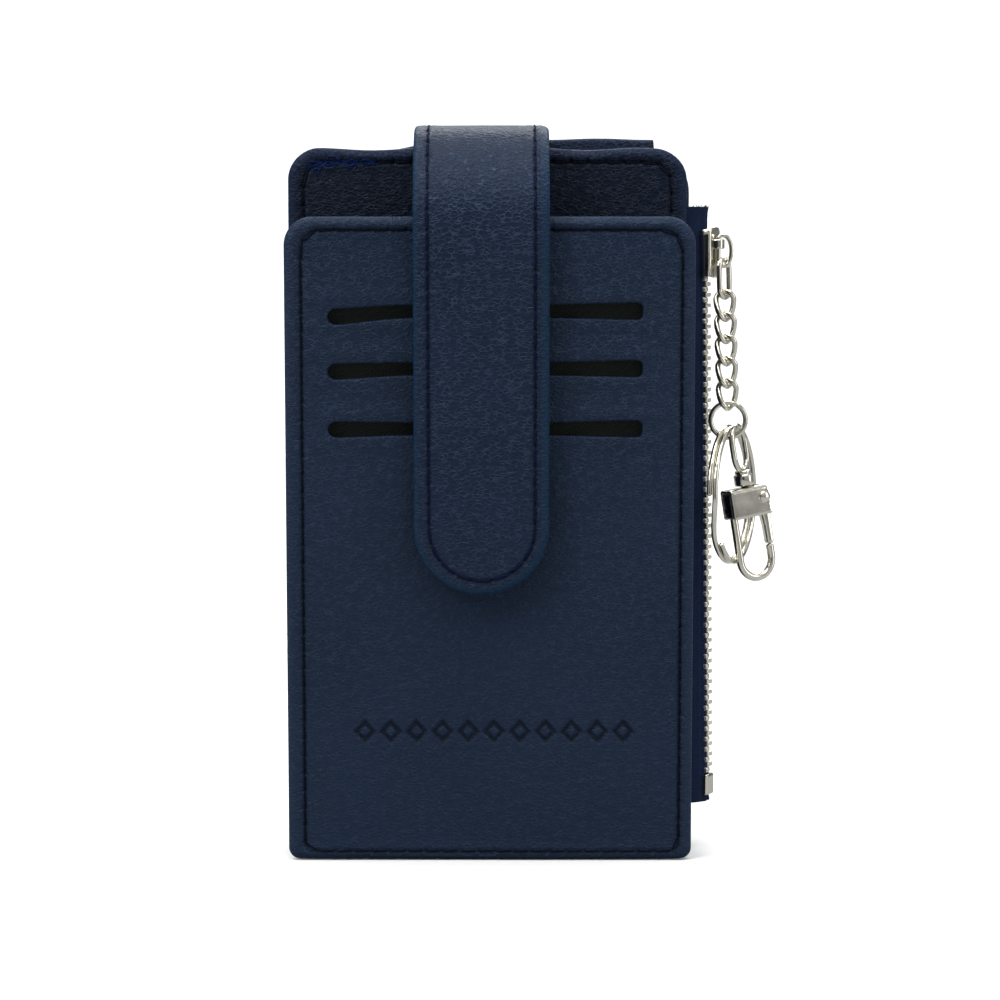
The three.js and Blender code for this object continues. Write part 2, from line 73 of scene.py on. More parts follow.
# ---- driving dimensions that the CAD model shares ----
LEAN = math.radians(2.75)
LEAN_PIVOT = (-7.0, 0.6)
FRONT_FACE_Y = -12.3
CORNER = 5.0
BOTTOM_CORNER = 2.0
SLOT_HEIGHTS = (98.5, 88.4, 77.8)
SLOT_LEFT = -28.4
SLOT_RIGHT = 26.8
STRAP_TIP_Z = 48.4
STRAP_TIP_RADIUS = 11.8
ZIP_LINE_X = 38.6
ZIP_TURN = math.radians(28)
TOOTH_PITCH = 1.9
TEETH_BOTTOM = 13.9
TEETH_COUNT = 52
BAIL_BAR = 2.75
PULL_BOTTOM = 105.95
PULL_REACH = 0.98
CHAIN_SLANT = math.radians(1.7)
CHAIN_FORWARD = math.radians(3.3)
LINK_PITCH = 4.0
LINK_HALF_WIDTH = 1.6
LINK_WIRE = 0.475
CONTACT = 0.1
JUMP_RADIUS = 3.12
SPLIT_RADIUS = 12.1
SPLIT_OFFSET = 0.52
HOOK_TILT = math.radians(9)

# ---- dimensions of the looks alone ----
SHOWN_LINK_WIRE = LINK_WIRE + 0.04
JUMP_WIRE = 0.47
SPLIT_WIRE = 0.49
EYE_WIRE = 0.55
BOW_WIRE = 0.72
RING_YAW = math.radians(-21)
RING_ROLL = math.radians(-1.5)
EYE_YAW = math.radians(65)
HOOK_TURN = math.radians(27)
RIVET_X, RIVET_Z = 2.6, -2.2

# ---- leather, thread and meshes ----
STITCH = 3.15
THREAD = 0.14
GRAIN = 0.75
RIM_WIDTH = 1.3
SEAM_ROWS = (-0.85, -0.5, -0.25, -0.08, 0.08, 0.25, 0.5, 0.85)
SEAM_CLEAR = 0.95
SEAM_REACH = 2.2
SEAM_SHADE = 0.34
PUFF_INSET, PUFF_WIDTH = 1.35, 0.85
PAINT_REACH, PAINT_FADE = 1.12, 0.3
LATHE_SIDES = 48


def box(node):
    low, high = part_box(node)
    return low / MM, high / MM


def point_at(thing, place, aim):
    """Puts a camera or a light at a place, looking at another."""
    thing.location = place
    thing.rotation_mode = "QUATERNION"
    thing.rotation_quaternion = (Vector(aim) - Vector(place)).to_track_quat("-Z", "Y")


def add_camera():
    data = bpy.data.cameras.new("camera")
    data.lens = CAMERA_LENS
    data.sensor_width = CAMERA_SENSOR
    data.clip_start = 0.01
    data.clip_end = 20
    camera = bpy.data.objects.new("camera", data)
    bpy.context.scene.collection.objects.link(camera)
    back = Vector((0, -math.cos(CAMERA_PITCH), math.sin(CAMERA_PITCH)))
    point_at(camera, (AIM + back * CAMERA_DISTANCE) * MM, AIM * MM)
    bpy.context.scene.camera = camera


add_camera()


# ======== Materials ========
class Nodes:
    """Short calls that add shader nodes to one tree and join them."""

    def __init__(self, tree):
        self.tree = tree
        tree.nodes.clear()

    def feed(self, node, key, value):
        """Sets an input to a number or a color, or joins another node's output to it."""
        socket = node.inputs[key]
        if isinstance(value, bpy.types.NodeSocket):
            self.tree.links.new(value, socket)
        elif socket.type == "RGBA":
            socket.default_value = (*value, 1.0)
        else:
            socket.default_value = value

    def add(self, kind, inputs=None, **settings):
        node = self.tree.nodes.new(kind)
        for key, value in settings.items():
            setattr(node, key, value)
        for key, value in (inputs or {}).items():
            self.feed(node, key, value)
        return node

    def math(self, operation, *values):
        return self.add("ShaderNodeMath", dict(enumerate(values)), operation=operation).outputs[0]

    def total(self, *terms):
        """Sum of the given (value, weight) pairs."""
        total = 0.0
        for value, weight in terms:
            total = self.math("MULTIPLY_ADD", value, weight, total)
        return total

    def vector(self, operation, *values):
        return self.add("ShaderNodeVectorMath", dict(enumerate(values)), operation=operation).outputs[0]

    def scaled(self, value, factor):
        return self.add("ShaderNodeVectorMath", {0: value, "Scale": factor}, operation="SCALE").outputs[0]

    def noise(self, vector, scale, detail=2.0, roughness=0.5):
        inputs = {"Vector": vector, "Scale": scale, "Detail": detail, "Roughness": roughness}
        return self.add("ShaderNodeTexNoise", inputs)

    def remap(self, value, low, high, to_low, to_high):
        inputs = {"Value": value, 1: low, 2: high, 3: to_low, 4: to_high}
        return self.add("ShaderNodeMapRange", inputs, clamp=True).outputs["Result"]

    def mix(self, factor, a, b):
        return self.add("ShaderNodeMix", {0: factor, 6: a, 7: b}, data_type="RGBA").outputs[2]


class Look(Nodes):
    """One material with a Principled shader."""

    def __init__(self, name):
        self.material = bpy.data.materials.new(name)
        self.material.use_nodes = True
        super().__init__(self.material.node_tree)
        self.shader = self.add("ShaderNodeBsdfPrincipled")
        self.add("ShaderNodeOutputMaterial", {"Surface": self.shader.outputs["BSDF"]})

    def flat(self):
        """Flat position on the sheet, in metres."""
        return self.add("ShaderNodeUVMap", uv_map="flat").outputs["UV"]

    def place(self):
        return self.add("ShaderNodeTexCoord").outputs["Object"]

    def attribute(self, name):
        return self.add("ShaderNodeAttribute", attribute_name=name).outputs["Fac"]

    def finish(self, color, roughness, height=None, relief=0.0, **constants):
        """Sets the shader's inputs; the height is in units of the relief, which is in metres."""
        self.feed(self.shader, "Base Color", color)
        self.feed(self.shader, "Roughness", roughness)
        if height is not None:
            bump = self.add("ShaderNodeBump", {"Height": height, "Distance": relief, "Strength": 1.0})
            self.feed(self.shader, "Normal", bump.outputs["Normal"])
        for key, value in constants.items():
            self.feed(self.shader, key.replace("_", " "), value)
        return self.material


def tint(color, factor):
    return tuple(c * factor for c in color)


def leather(name, color, grain=1.0, edge=None, cell=GRAIN):
    """Fine grained leather: a broken net of thin raised ridges, paler with painted glints, over darker,
    slightly domed cells.
    """
    n = Look(name)
    flat = n.flat()
    drift = n.vector("SUBTRACT", n.noise(flat, 900).outputs["Color"], (0.5, 0.5, 0.5))
    spot = n.vector("ADD", flat, n.scaled(drift, 0.0007))
    stretch = {"Vector": spot, "Scale": (0.82, 1.3, 1.0), "Rotation": (0, 0, 0.1)}
    cells = {"Vector": n.add("ShaderNodeMapping", stretch).outputs[0], "Scale": 1.0 / (cell * MM)}
    net = n.add("ShaderNodeTexVoronoi", cells, feature="DISTANCE_TO_EDGE")
    dome = n.add("ShaderNodeTexVoronoi", cells, feature="F1")
    broken = n.remap(n.noise(flat, 700, 3.0).outputs["Fac"], 0.38, 0.60, 0.3, 1.0)
    crest = n.math("MULTIPLY", n.remap(net.outputs["Distance"], 0.0, 0.14, 1.0, 0.0), broken)
    pores = n.noise(flat, 4200).outputs["Fac"]
    folds = n.noise(flat, 230, 3.0, 0.6).outputs["Fac"]
    wide = n.noise(flat, 38, 3.0).outputs["Fac"]
    up = n.add("ShaderNodeSeparateXYZ", {0: n.place()}).outputs["Z"]
    height = n.total((crest, 0.9), (pores, 0.2), (dome.outputs["Distance"], 0.5), (folds, 0.9))
    # wide clouds, cells of uneven darkness, and a faint painted light that lifts the lower part of the body
    shade = n.mix(n.remap(wide, 0.3, 0.7, 0.0, 1.0), tint(color, 0.8), tint(color, 1.04))
    shade = n.mix(n.remap(dome.outputs["Color"], 0.0, 1.0, 0.0, 0.3), shade, tint(color, 0.55))
    shade = n.mix(n.remap(up, 0.0, 0.09, 0.13, 0.0), shade, tint(color, 2.0))
    # painted highlight: the ridges are painted paler and bluer than the cells, as glints of the light, most
    # of all towards the top where the light catches them most
    pale = (0.0070, 0.0088, 0.0115)
    bright = tuple(c * (1.0 + 0.75 * grain) + more * grain for c, more in zip(color, pale))
    # painted glints: full strength at the top, fading to under half lower down
    fresh = n.remap(up, 0.02, 0.115, 0.42, 1.0)
    shade = n.mix(n.math("MULTIPLY", n.remap(crest, 0.2, 0.9, 0.0, 0.9), fresh), shade, bright)
    # edge colour: the strap's real edge paint, and a painted highlight along the rounded rims of the other
    # sheets; then painted shade in the seams
    edge_paint_and_sheen = edge or tuple(c * 1.5 + 0.002 for c in color)
    shade = n.mix(n.math("MULTIPLY", n.attribute("rim"), 1.0 if edge else 0.4), shade, edge_paint_and_sheen)
    shade = n.mix(n.math("MULTIPLY", n.attribute("sunk"), 0.75), shade, tint(color, 0.22))
    rough = n.remap(n.total((wide, 1.0), (crest, -0.3)), 0.0, 0.7, 0.34, 0.54)
    return n.finish(shade, rough, height, 0.0001 * grain, Specular_IOR_Level=0.13)


def thread_look(name, color):
    """Twisted thread: slanting plies that run along each stitch."""
    n = Look(name)
    flat = n.flat()
    turned = n.add("ShaderNodeMapping", {"Vector": flat, "Rotation": (0, 0, 0.9)}).outputs[0]
    plies = n.add("ShaderNodeTexWave", {"Vector": turned, "Scale": 900.0, "Distortion": 0.6}).outputs["Fac"]
    height = n.total((plies, 1.0), (n.noise(flat, 9000).outputs["Fac"], 0.4))
    # painted shade and highlight: the thread is darker in the grooves between the plies and paler on their
    # crests
    shade = n.mix(n.remap(height, 0.2, 1.2, 0.0, 1.0), tint(color, 0.6), tint(color, 1.25))
    return n.finish(shade, 0.8, height, 0.00005, Specular_IOR_Level=0.1)


def twill(name, color, pitch=0.42, sheen=0.2):
    """Twill cloth: raised diagonal ribs of short floats."""
    n = Look(name)
    flat = n.flat()
    spot = n.vector("ADD", flat, n.scaled(n.noise(flat, 900).outputs["Color"], 0.00012))
    turned = n.add("ShaderNodeMapping", {"Vector": spot, "Rotation": (0, 0, math.radians(48))}).outputs[0]
    rib_scale = 0.314 / (pitch * MM)
    ribs = n.add("ShaderNodeTexWave", {"Vector": turned, "Scale": rib_scale}).outputs["Fac"]
    across = {"Vector": spot, "Scale": rib_scale / 0.7}
    floats = n.add("ShaderNodeTexWave", across, bands_direction="Y").outputs["Fac"]
    fuzz = n.noise(flat, 7000, 3.0).outputs["Fac"]
    height = n.total((ribs, 1.0), (floats, 0.35), (fuzz, 0.35))
    # painted shade and highlight: the cloth is darker in the low places of the weave and paler on the raised
    # ribs
    shade = n.mix(n.remap(height, 0.3, 1.4, 0.0, 1.0), tint(color, 0.45), tint(color, 1.5))
    return n.finish(shade, 0.9, height, 0.00009, Sheen_Weight=sheen, Specular_IOR_Level=0.15)


def metal(name, color, roughness, scratch=1.0):
    """Plated metal with faint smears and scratches."""
    n = Look(name)
    place = n.place()
    smear = n.noise(place, 160, 4.0, 0.6).outputs["Fac"]
    stretched = n.add("ShaderNodeMapping", {"Vector": place, "Scale": (1.0, 1.0, 0.12)}).outputs[0]
    lines = n.noise(stretched, 3200).outputs["Fac"]
    shade = n.mix(n.remap(smear, 0.35, 0.7, 0.0, 1.0), tint(color, 0.86), color)
    rough = n.remap(n.total((smear, 1.0), (lines, 0.3)), 0.4, 0.9, roughness * 0.7, roughness * 1.5)
    height = n.total((lines, 1.0), (smear, 2.0))
    return n.finish(shade, rough, height, 0.000008 * scratch, Metallic=1.0)


STRAP_EDGE = (0.0065, 0.025, 0.058)
FRONT_LEATHER = leather("front_leather", (0.0107, 0.0218, 0.0475))
# painted shade and highlight: the middle panel's leather is darker than the front's, for the shade behind the
# front panel and under the strap, and its rims carry a bluer painted highlight
MIDDLE_LEATHER = leather("middle_leather", (0.0036, 0.0084, 0.0215), edge=(0.0050, 0.0145, 0.042))
BACK_LEATHER = leather("back_leather", (0.0085, 0.0172, 0.0400))
STRAP_LEATHER = leather("strap_leather", (0.0092, 0.0192, 0.0435), grain=1.2, edge=STRAP_EDGE, cell=0.9)
UNDERSIDE_LEATHER = leather("underside_leather", (0.0060, 0.0110, 0.0250), grain=0.4)
NAVY_THREAD = thread_look("navy_thread", (0.002, 0.004, 0.014))
STRAP_THREAD = thread_look("strap_thread", (0.003, 0.007, 0.040))
ZIP_THREAD = thread_look("zip_thread", (0.006, 0.012, 0.045))
BLUE_THREAD = thread_look("blue_thread", (0.005, 0.022, 0.105))
BLACK_TWILL = twill("black_twill", (0.0195, 0.0228, 0.0205))
GUSSET_CLOTH = twill("gusset_cloth", (0.007, 0.011, 0.022), pitch=0.36)
ZIP_TAPE = twill("zip_tape", (0.0060, 0.0160, 0.050), pitch=0.4, sheen=0.03)
NICKEL = metal("nickel", (0.76, 0.73, 0.63), 0.12, scratch=0.3)
# painted shade: a dark metal for the plate that stands for the shade inside the hook's channel
CHANNEL_SHADE_METAL = metal("channel_shade_metal", (0.10, 0.105, 0.12), 0.25, scratch=0.3)
TOOTH_METAL = metal("tooth_metal", (0.88, 0.84, 0.74), 0.45)


# ======== Lines and loops ========
def run_along(points):
    """Distance along a line up to each of its points."""
    steps = np.linalg.norm(np.diff(points, axis=0), axis=1)
    return np.concatenate([[0], np.cumsum(steps)])


def even(points, spacing, closed=True):
    """The same line, resampled at an even spacing."""
    points = np.asarray(points, float)
    if closed:
        points = np.vstack([points, points[:1]])
    run = run_along(points)
    count = max(3, round(run[-1] / spacing))
    marks = np.linspace(0, run[-1], count + 1)[: count if closed else count + 1]
    return np.stack([np.interp(marks, run, points[:, k]) for k in range(points.shape[1])], axis=1)


def tangents(points, closed=False):
    if closed:
        along = np.roll(points, -1, axis=0) - np.roll(points, 1, axis=0)
    else:
        along = np.gradient(points, axis=0)
    return along / np.linalg.norm(along, axis=1)[:, None]


def left_normals(points, closed=True):
    along = tangents(points, closed)
    return np.stack([-along[:, 1], along[:, 0]], axis=1)


def rounded_rectangle(x0, x1, z0, z1, radii, spacing=0.5):
    """Anticlockwise loop; radii are for bottom left, bottom right, top right and top left, or all alike."""
    a, b, c, d = radii if isinstance(radii, tuple) else (radii,) * 4
    corners = (
        (x0 + a, z0 + a, a, 180), (x1 - b, z0 + b, b, 270), (x1 - c, z1 - c, c, 0), (x0 + d, z1 - d, d, 90),
    )
    points = []
    for cx, cz, r, start in corners:
        angle = np.radians(start + np.linspace(0, 90, 17))
        points.append(np.stack([cx + r * np.cos(angle), cz + r * np.sin(angle)], axis=1))
    return even(np.vstack(points), spacing)


def circle_loop(x, z, radius, count):
    """Clockwise loop, for a hole."""
    angle = -np.linspace(0, 2 * math.pi, count, endpoint=False)
    return np.stack([x + radius * np.cos(angle), z + radius * np.sin(angle)], axis=1)


def smooth_line(points, spacing):
    """A smooth curve through the points, evenly spaced."""
    p = np.asarray(points, float)
    p = np.vstack([2 * p[0] - p[1], p, 2 * p[-1] - p[-2]])
    out = []
    for k in range(1, len(p) - 2):
        a, b, c, d = p[k - 1:k + 3]
        first, middle, last = (max(np.linalg.norm(v), 1e-9) ** 0.5 for v in (b - a, c - b, d - c))
        m1 = ((b - a) / first - (c - a) / (first + middle) + (c - b) / middle) * middle
        m2 = ((c - b) / middle - (d - b) / (middle + last) + (d - c) / last) * middle
        count = max(4, int(np.linalg.norm(c - b) / spacing * 2))
        for t in np.linspace(0, 1, count, endpoint=False):
            t2, t3 = t * t, t * t * t
            ends = b * (2 * t3 - 3 * t2 + 1) + c * (3 * t2 - 2 * t3)
            out.append(ends + m1 * (t3 - 2 * t2 + t) + m2 * (t3 - t2))
    out.append(p[-2])
    return even(np.array(out), spacing, closed=False)


def filleted(points, radii, spacing):
    """Straight runs joined by round bends, each with its own radius."""
    points = [np.array(p, float) for p in points]
    out = [points[0]]
    for before, corner, after, radius in zip(points, points[1:], points[2:], radii):
        long_before, long_after = np.linalg.norm(before - corner), np.linalg.norm(after - corner)
        back, ahead = (before - corner) / long_before, (after - corner) / long_after
        opening = math.acos(max(-1.0, min(1.0, float(back @ ahead))))
        reach = min(radius / math.tan(opening / 2), long_before * 0.49, long_after * 0.49)
        start, end = corner + back * reach, corner + ahead * reach
        for t in np.linspace(0, 1, 9):
            out.append((1 - t) ** 2 * start + 2 * t * (1 - t) * corner + t * t * end)
    out.append(points[-1])
    return even(np.array(out), spacing, closed=False)


def nearest(points, line):
    """Index of the nearest point of a line for each point."""
    tree = KDTree(len(line))
    for k, (x, y) in enumerate(np.asarray(line).tolist()):
        tree.insert((x, y, 0.0), k)
    tree.balance()
    return np.array([tree.find((x, y, 0.0))[1] for x, y in np.asarray(points).tolist()], int)


def distance_to(points, line, closed=True):
    """Shortest distance from each point to a closely spaced line."""
    if not len(points):
        return np.zeros(0)
    count = len(line)
    middle = nearest(points, line)
    best = np.full(len(points), np.inf)
    for step in (-1, 0):
        if closed:
            first, second = (middle + step) % count, (middle + step + 1) % count
        else:
            first = np.clip(middle + step, 0, count - 2)
            second = first + 1
        a = line[first]
        ab = line[second] - a
        rel = points - a
        t = np.clip((rel * ab).sum(1) / np.maximum((ab * ab).sum(1), 1e-12), 0, 1)
        best = np.minimum(best, np.linalg.norm(rel - t[:, None] * ab, axis=1))
    return best


def inside(points, loop):
    x, z = points[:, 0], points[:, 1]
    result = np.zeros(len(points), bool)
    for (x0, z0), (x1, z1) in zip(loop, np.roll(loop, -1, axis=0)):
        crosses = (z0 > z) != (z1 > z)
        if z1 != z0:
            result ^= crosses & (x < (x1 - x0) * (z - z0) / (z1 - z0) + x0)
    return result


def grid_points(x0, x1, z0, z1, across, up, stagger=0.0):
    """Even rows of points; every second row is moved sideways by the stagger."""
    xs, zs = np.arange(x0, x1, across), np.arange(z0, z1, up)
    gx, gz = np.meshgrid(xs, zs)
    gx = gx + (np.arange(len(zs)) % 2)[:, None] * stagger
    return np.stack([gx.ravel(), gz.ravel()], axis=1)


def fill(loops, extra):
    """Triangles inside the first loop and outside the others; the first vertices are the loops' own."""
    points = np.vstack([*loops, extra])
    edges, start = [], 0
    for loop in loops:
        count = len(loop)
        edges += [(start + i, start + (i + 1) % count) for i in range(count)]
        start += count
    found = delaunay_2d_cdt([Vector(p) for p in points], edges, [], 0, 1e-5)
    out = np.array([tuple(v) for v in found[0]], float)
    home = np.full(len(points), -1)
    for k, sources in enumerate(found[3]):
        for source in sources:
            home[source] = k
    on_loop = np.zeros(len(out), bool)
    on_loop[home[:start]] = True
    faces = np.array([f for f in found[2] if len(f) == 3])
    # only a triangle with all its corners on loops can lie off the sheet
    doubtful = on_loop[faces].all(axis=1)
    centres = out[faces[doubtful]].mean(axis=1)
    keep = np.ones(len(faces), bool)
    keep[doubtful] = inside(centres, loops[0])
    for hole in loops[1:]:
        keep[np.flatnonzero(doubtful)[inside(centres, hole)]] = False
    return out, faces[keep], home[:start]


# ======== Meshes ========
def signed_volume(points, faces):
    total = 0.0
    for size in (3, 4):
        group = np.array([f for f in faces if len(f) == size])
        if len(group):
            for k in range(1, size - 1):
                a, b, c = points[group[:, 0]], points[group[:, k]], points[group[:, k + 1]]
                total += np.einsum("ij,ij->", a, np.cross(b, c))
    return total


def make_object(name, mesh, *materials):
    obj = bpy.data.objects.new(name, mesh)
    bpy.context.scene.collection.objects.link(obj)
    for material in materials:
        mesh.materials.append(material)
    return obj


def solid(name, coordinates, faces, flat, *materials):
    """A smooth mesh in metres from millimetres, its faces turned outward if it is inside out."""
    points = np.asarray(coordinates, float) * MM
    mesh = bpy.data.meshes.new(name)
    if signed_volume(points, faces) < 0:
        faces = [face[::-1] for face in faces]
    mesh.from_pydata(points.tolist(), [], faces)
    layer = mesh.uv_layers.new(name="flat")
    index = np.empty(len(mesh.loops), np.int32)
    mesh.loops.foreach_get("vertex_index", index)
    layer.data.foreach_set("uv", np.asarray(flat * MM, np.float32)[index].ravel())
    mesh.polygons.foreach_set("use_smooth", np.ones(len(mesh.polygons), bool))
    mesh.update()
    return make_object(name, mesh, *materials)


def add_values(mesh, name, values):
    attribute = mesh.attributes.new(name, "FLOAT", "POINT")
    attribute.data.foreach_set("value", np.asarray(values, np.float32))


def band(first, second):
    """Quads between two rings of vertices."""
    return np.stack([first, np.roll(first, -1), np.roll(second, -1), second], axis=1).tolist()


def ring_faces(rows, sides, closed=False):
    """Faces of a tube made of rings, with flat ends unless it is closed."""
    rings = np.arange(rows * sides).reshape(rows, sides)
    faces = []
    for k in range(rows if closed else rows - 1):
        faces += band(rings[k], rings[(k + 1) % rows])
    if not closed:
        faces += [rings[0][::-1].tolist(), rings[-1].tolist()]
    return faces


def circle(sides):
    """Angles of the points of a ring."""
    return np.linspace(0, 2 * math.pi, sides, endpoint=False)


def moved(points, matrix):
    points = np.asarray(points, float)
    if matrix is None:
        return points
    m = np.array(matrix)
    return points @ m[:3, :3].T + m[:3, 3]


def joined(parts):
    """Several parts, each of points, faces and flat places, as one."""
    faces, base = [], 0
    for points, part_faces, _ in parts:
        faces += [[v + base for v in face] for face in part_faces]
        base += len(points)
    return np.vstack([part[0] for part in parts]), faces, np.vstack([part[2] for part in parts])


def tube(path, radius, sides, closed=False):
    """A round wire along a path, its ends rounded unless it is closed: points, faces and flat places."""
    path = np.asarray(path, float)
    along = tangents(path, closed)
    normal = np.cross(along[0], (0.3, 0.9, 0.2))
    normals = []
    for direction in along:
        normal = normal - direction * (normal @ direction)
        normal /= np.linalg.norm(normal)
        normals.append(normal)
    normals = np.array(normals)
    if closed:
        # the frame's leftover turn is spread round the loop
        back = normals[-1] - along[0] * (normals[-1] @ along[0])
        back /= np.linalg.norm(back)
        twist = math.atan2(np.cross(back, normals[0]) @ along[0], back @ normals[0])
        turn = np.linspace(0, twist, len(path))[:, None]
        normals = normals * np.cos(turn) + np.cross(along, normals) * np.sin(turn)
    others = np.cross(along, normals)
    size = np.full(len(path), float(radius))
    if not closed:
        share = np.array([0.0, 0.3, 0.62, 0.88])
        reach = (0.6 * radius * (1 - share))[:, None]
        end = radius * np.maximum(0.06, np.sqrt(1 - (1 - share) ** 2))
        path = np.vstack([path[0] - along[0] * reach, path, path[-1] + along[-1] * reach[::-1]])
        size = np.concatenate([end, size, end[::-1]])
        normals, others = (np.pad(v, ((4, 4), (0, 0)), "edge") for v in (normals, others))
    angle = circle(sides)
    out = normals[:, None] * np.cos(angle)[:, None] + others[:, None] * np.sin(angle)[:, None]
    points = path[:, None] + size[:, None, None] * out
    flat = np.stack(np.broadcast_arrays(run_along(path)[:, None], angle * radius), axis=-1)
    return points.reshape(-1, 3), ring_faces(len(path), sides, closed), flat.reshape(-1, 2)


def wire(name, path, radius, sides, closed, matrix):
    points, faces, flat = tube(path, radius, sides, closed)
    return solid(name, moved(points, matrix), faces, flat, NICKEL)


def lathe(name, profile, matrix, closed=False):
    """A turned piece from radii and heights along its own Z; a closed profile gives a ring."""
    sides = LATHE_SIDES
    angle = circle(sides)
    rings = [np.stack([r * np.cos(angle), r * np.sin(angle), np.full(sides, z)], axis=1) for r, z in profile]
    points = np.vstack(rings)
    return solid(name, moved(points, matrix), ring_faces(len(profile), sides, closed), points[:, :2], NICKEL)


def shell(name, grid, thickness, material):
    """A thin closed sheet through a grid of points, and its one-sided area in square metres."""
    rows, columns = grid.shape[:2]
    first, second = np.gradient(grid, axis=0), np.gradient(grid, axis=1)
    normal = np.cross(first, second)
    normal /= np.linalg.norm(normal, axis=2)[..., None]
    points = np.concatenate([grid + normal * thickness / 2, grid - normal * thickness / 2]).reshape(-1, 3)
    index = np.arange(rows * columns).reshape(rows, columns)
    shift = rows * columns
    quads = np.stack([index[:-1, :-1], index[:-1, 1:], index[1:, 1:], index[1:, :-1]], axis=-1).reshape(-1, 4)
    rim = np.concatenate([index[0, :-1], index[:-1, -1], index[-1, :0:-1], index[:0:-1, 0]])
    faces = quads.tolist() + (quads[:, ::-1] + shift).tolist() + band(rim + shift, rim)
    across = np.cumsum(np.linalg.norm(np.diff(grid, axis=1, prepend=grid[:, :1]), axis=2), axis=1)
    up = np.cumsum(np.linalg.norm(np.diff(grid, axis=0, prepend=grid[:1]), axis=2), axis=0)
    flat = np.stack([across, up], axis=-1).reshape(-1, 2)
    area = np.linalg.norm(np.cross(first, second), axis=2).sum() * MM * MM
    return solid(name, points, faces, np.vstack([flat, flat]), material), float(area)


# ======== Flat sheets with worked edges ========
class Seam:
    """A line of stitches on a sheet, with a hole at every stitch end."""

    def __init__(self, line, closed=True, pitch=STITCH, outward=-1, depth=1.0):
        self.closed = closed
        self.line = even(line, 0.27, closed)
        self.holes = even(line, pitch, closed)
        self.across = left_normals(self.holes, closed) * outward
        self.depth = depth

    def rows(self):
        """Extra mesh points on both sides of the line."""
        side = left_normals(self.line, self.closed)
        return np.vstack([self.line + side * gap for gap in SEAM_ROWS])

    def distance(self, points):
        return distance_to(points, self.line, self.closed)

    def relief(self, points):
        away = self.distance(points)
        near = away < SEAM_REACH
        height = np.zeros(len(points))
        p, line = points[near], away[near]
        if not len(p):
            return height
        hole = nearest(p, self.holes)
        rel, side = p - self.holes[hole], self.across[hole]
        b = (rel * side).sum(1)
        a = rel[:, 0] * side[:, 1] - rel[:, 1] * side[:, 0]
        groove = -0.17 * np.exp(-((line / 0.27) ** 2))
        holes = -0.3 * np.exp(-((a * a + b * b) / 0.075))
        pulls = -0.16 * np.exp(-((a / 0.2) ** 2)) * np.exp(-(((b - 0.5) / 0.38) ** 2))
        swell = 0.07 * np.exp(-(((line - 0.85) / 0.45) ** 2))
        height[near] = (groove + holes + pulls + swell) * self.depth
        return height


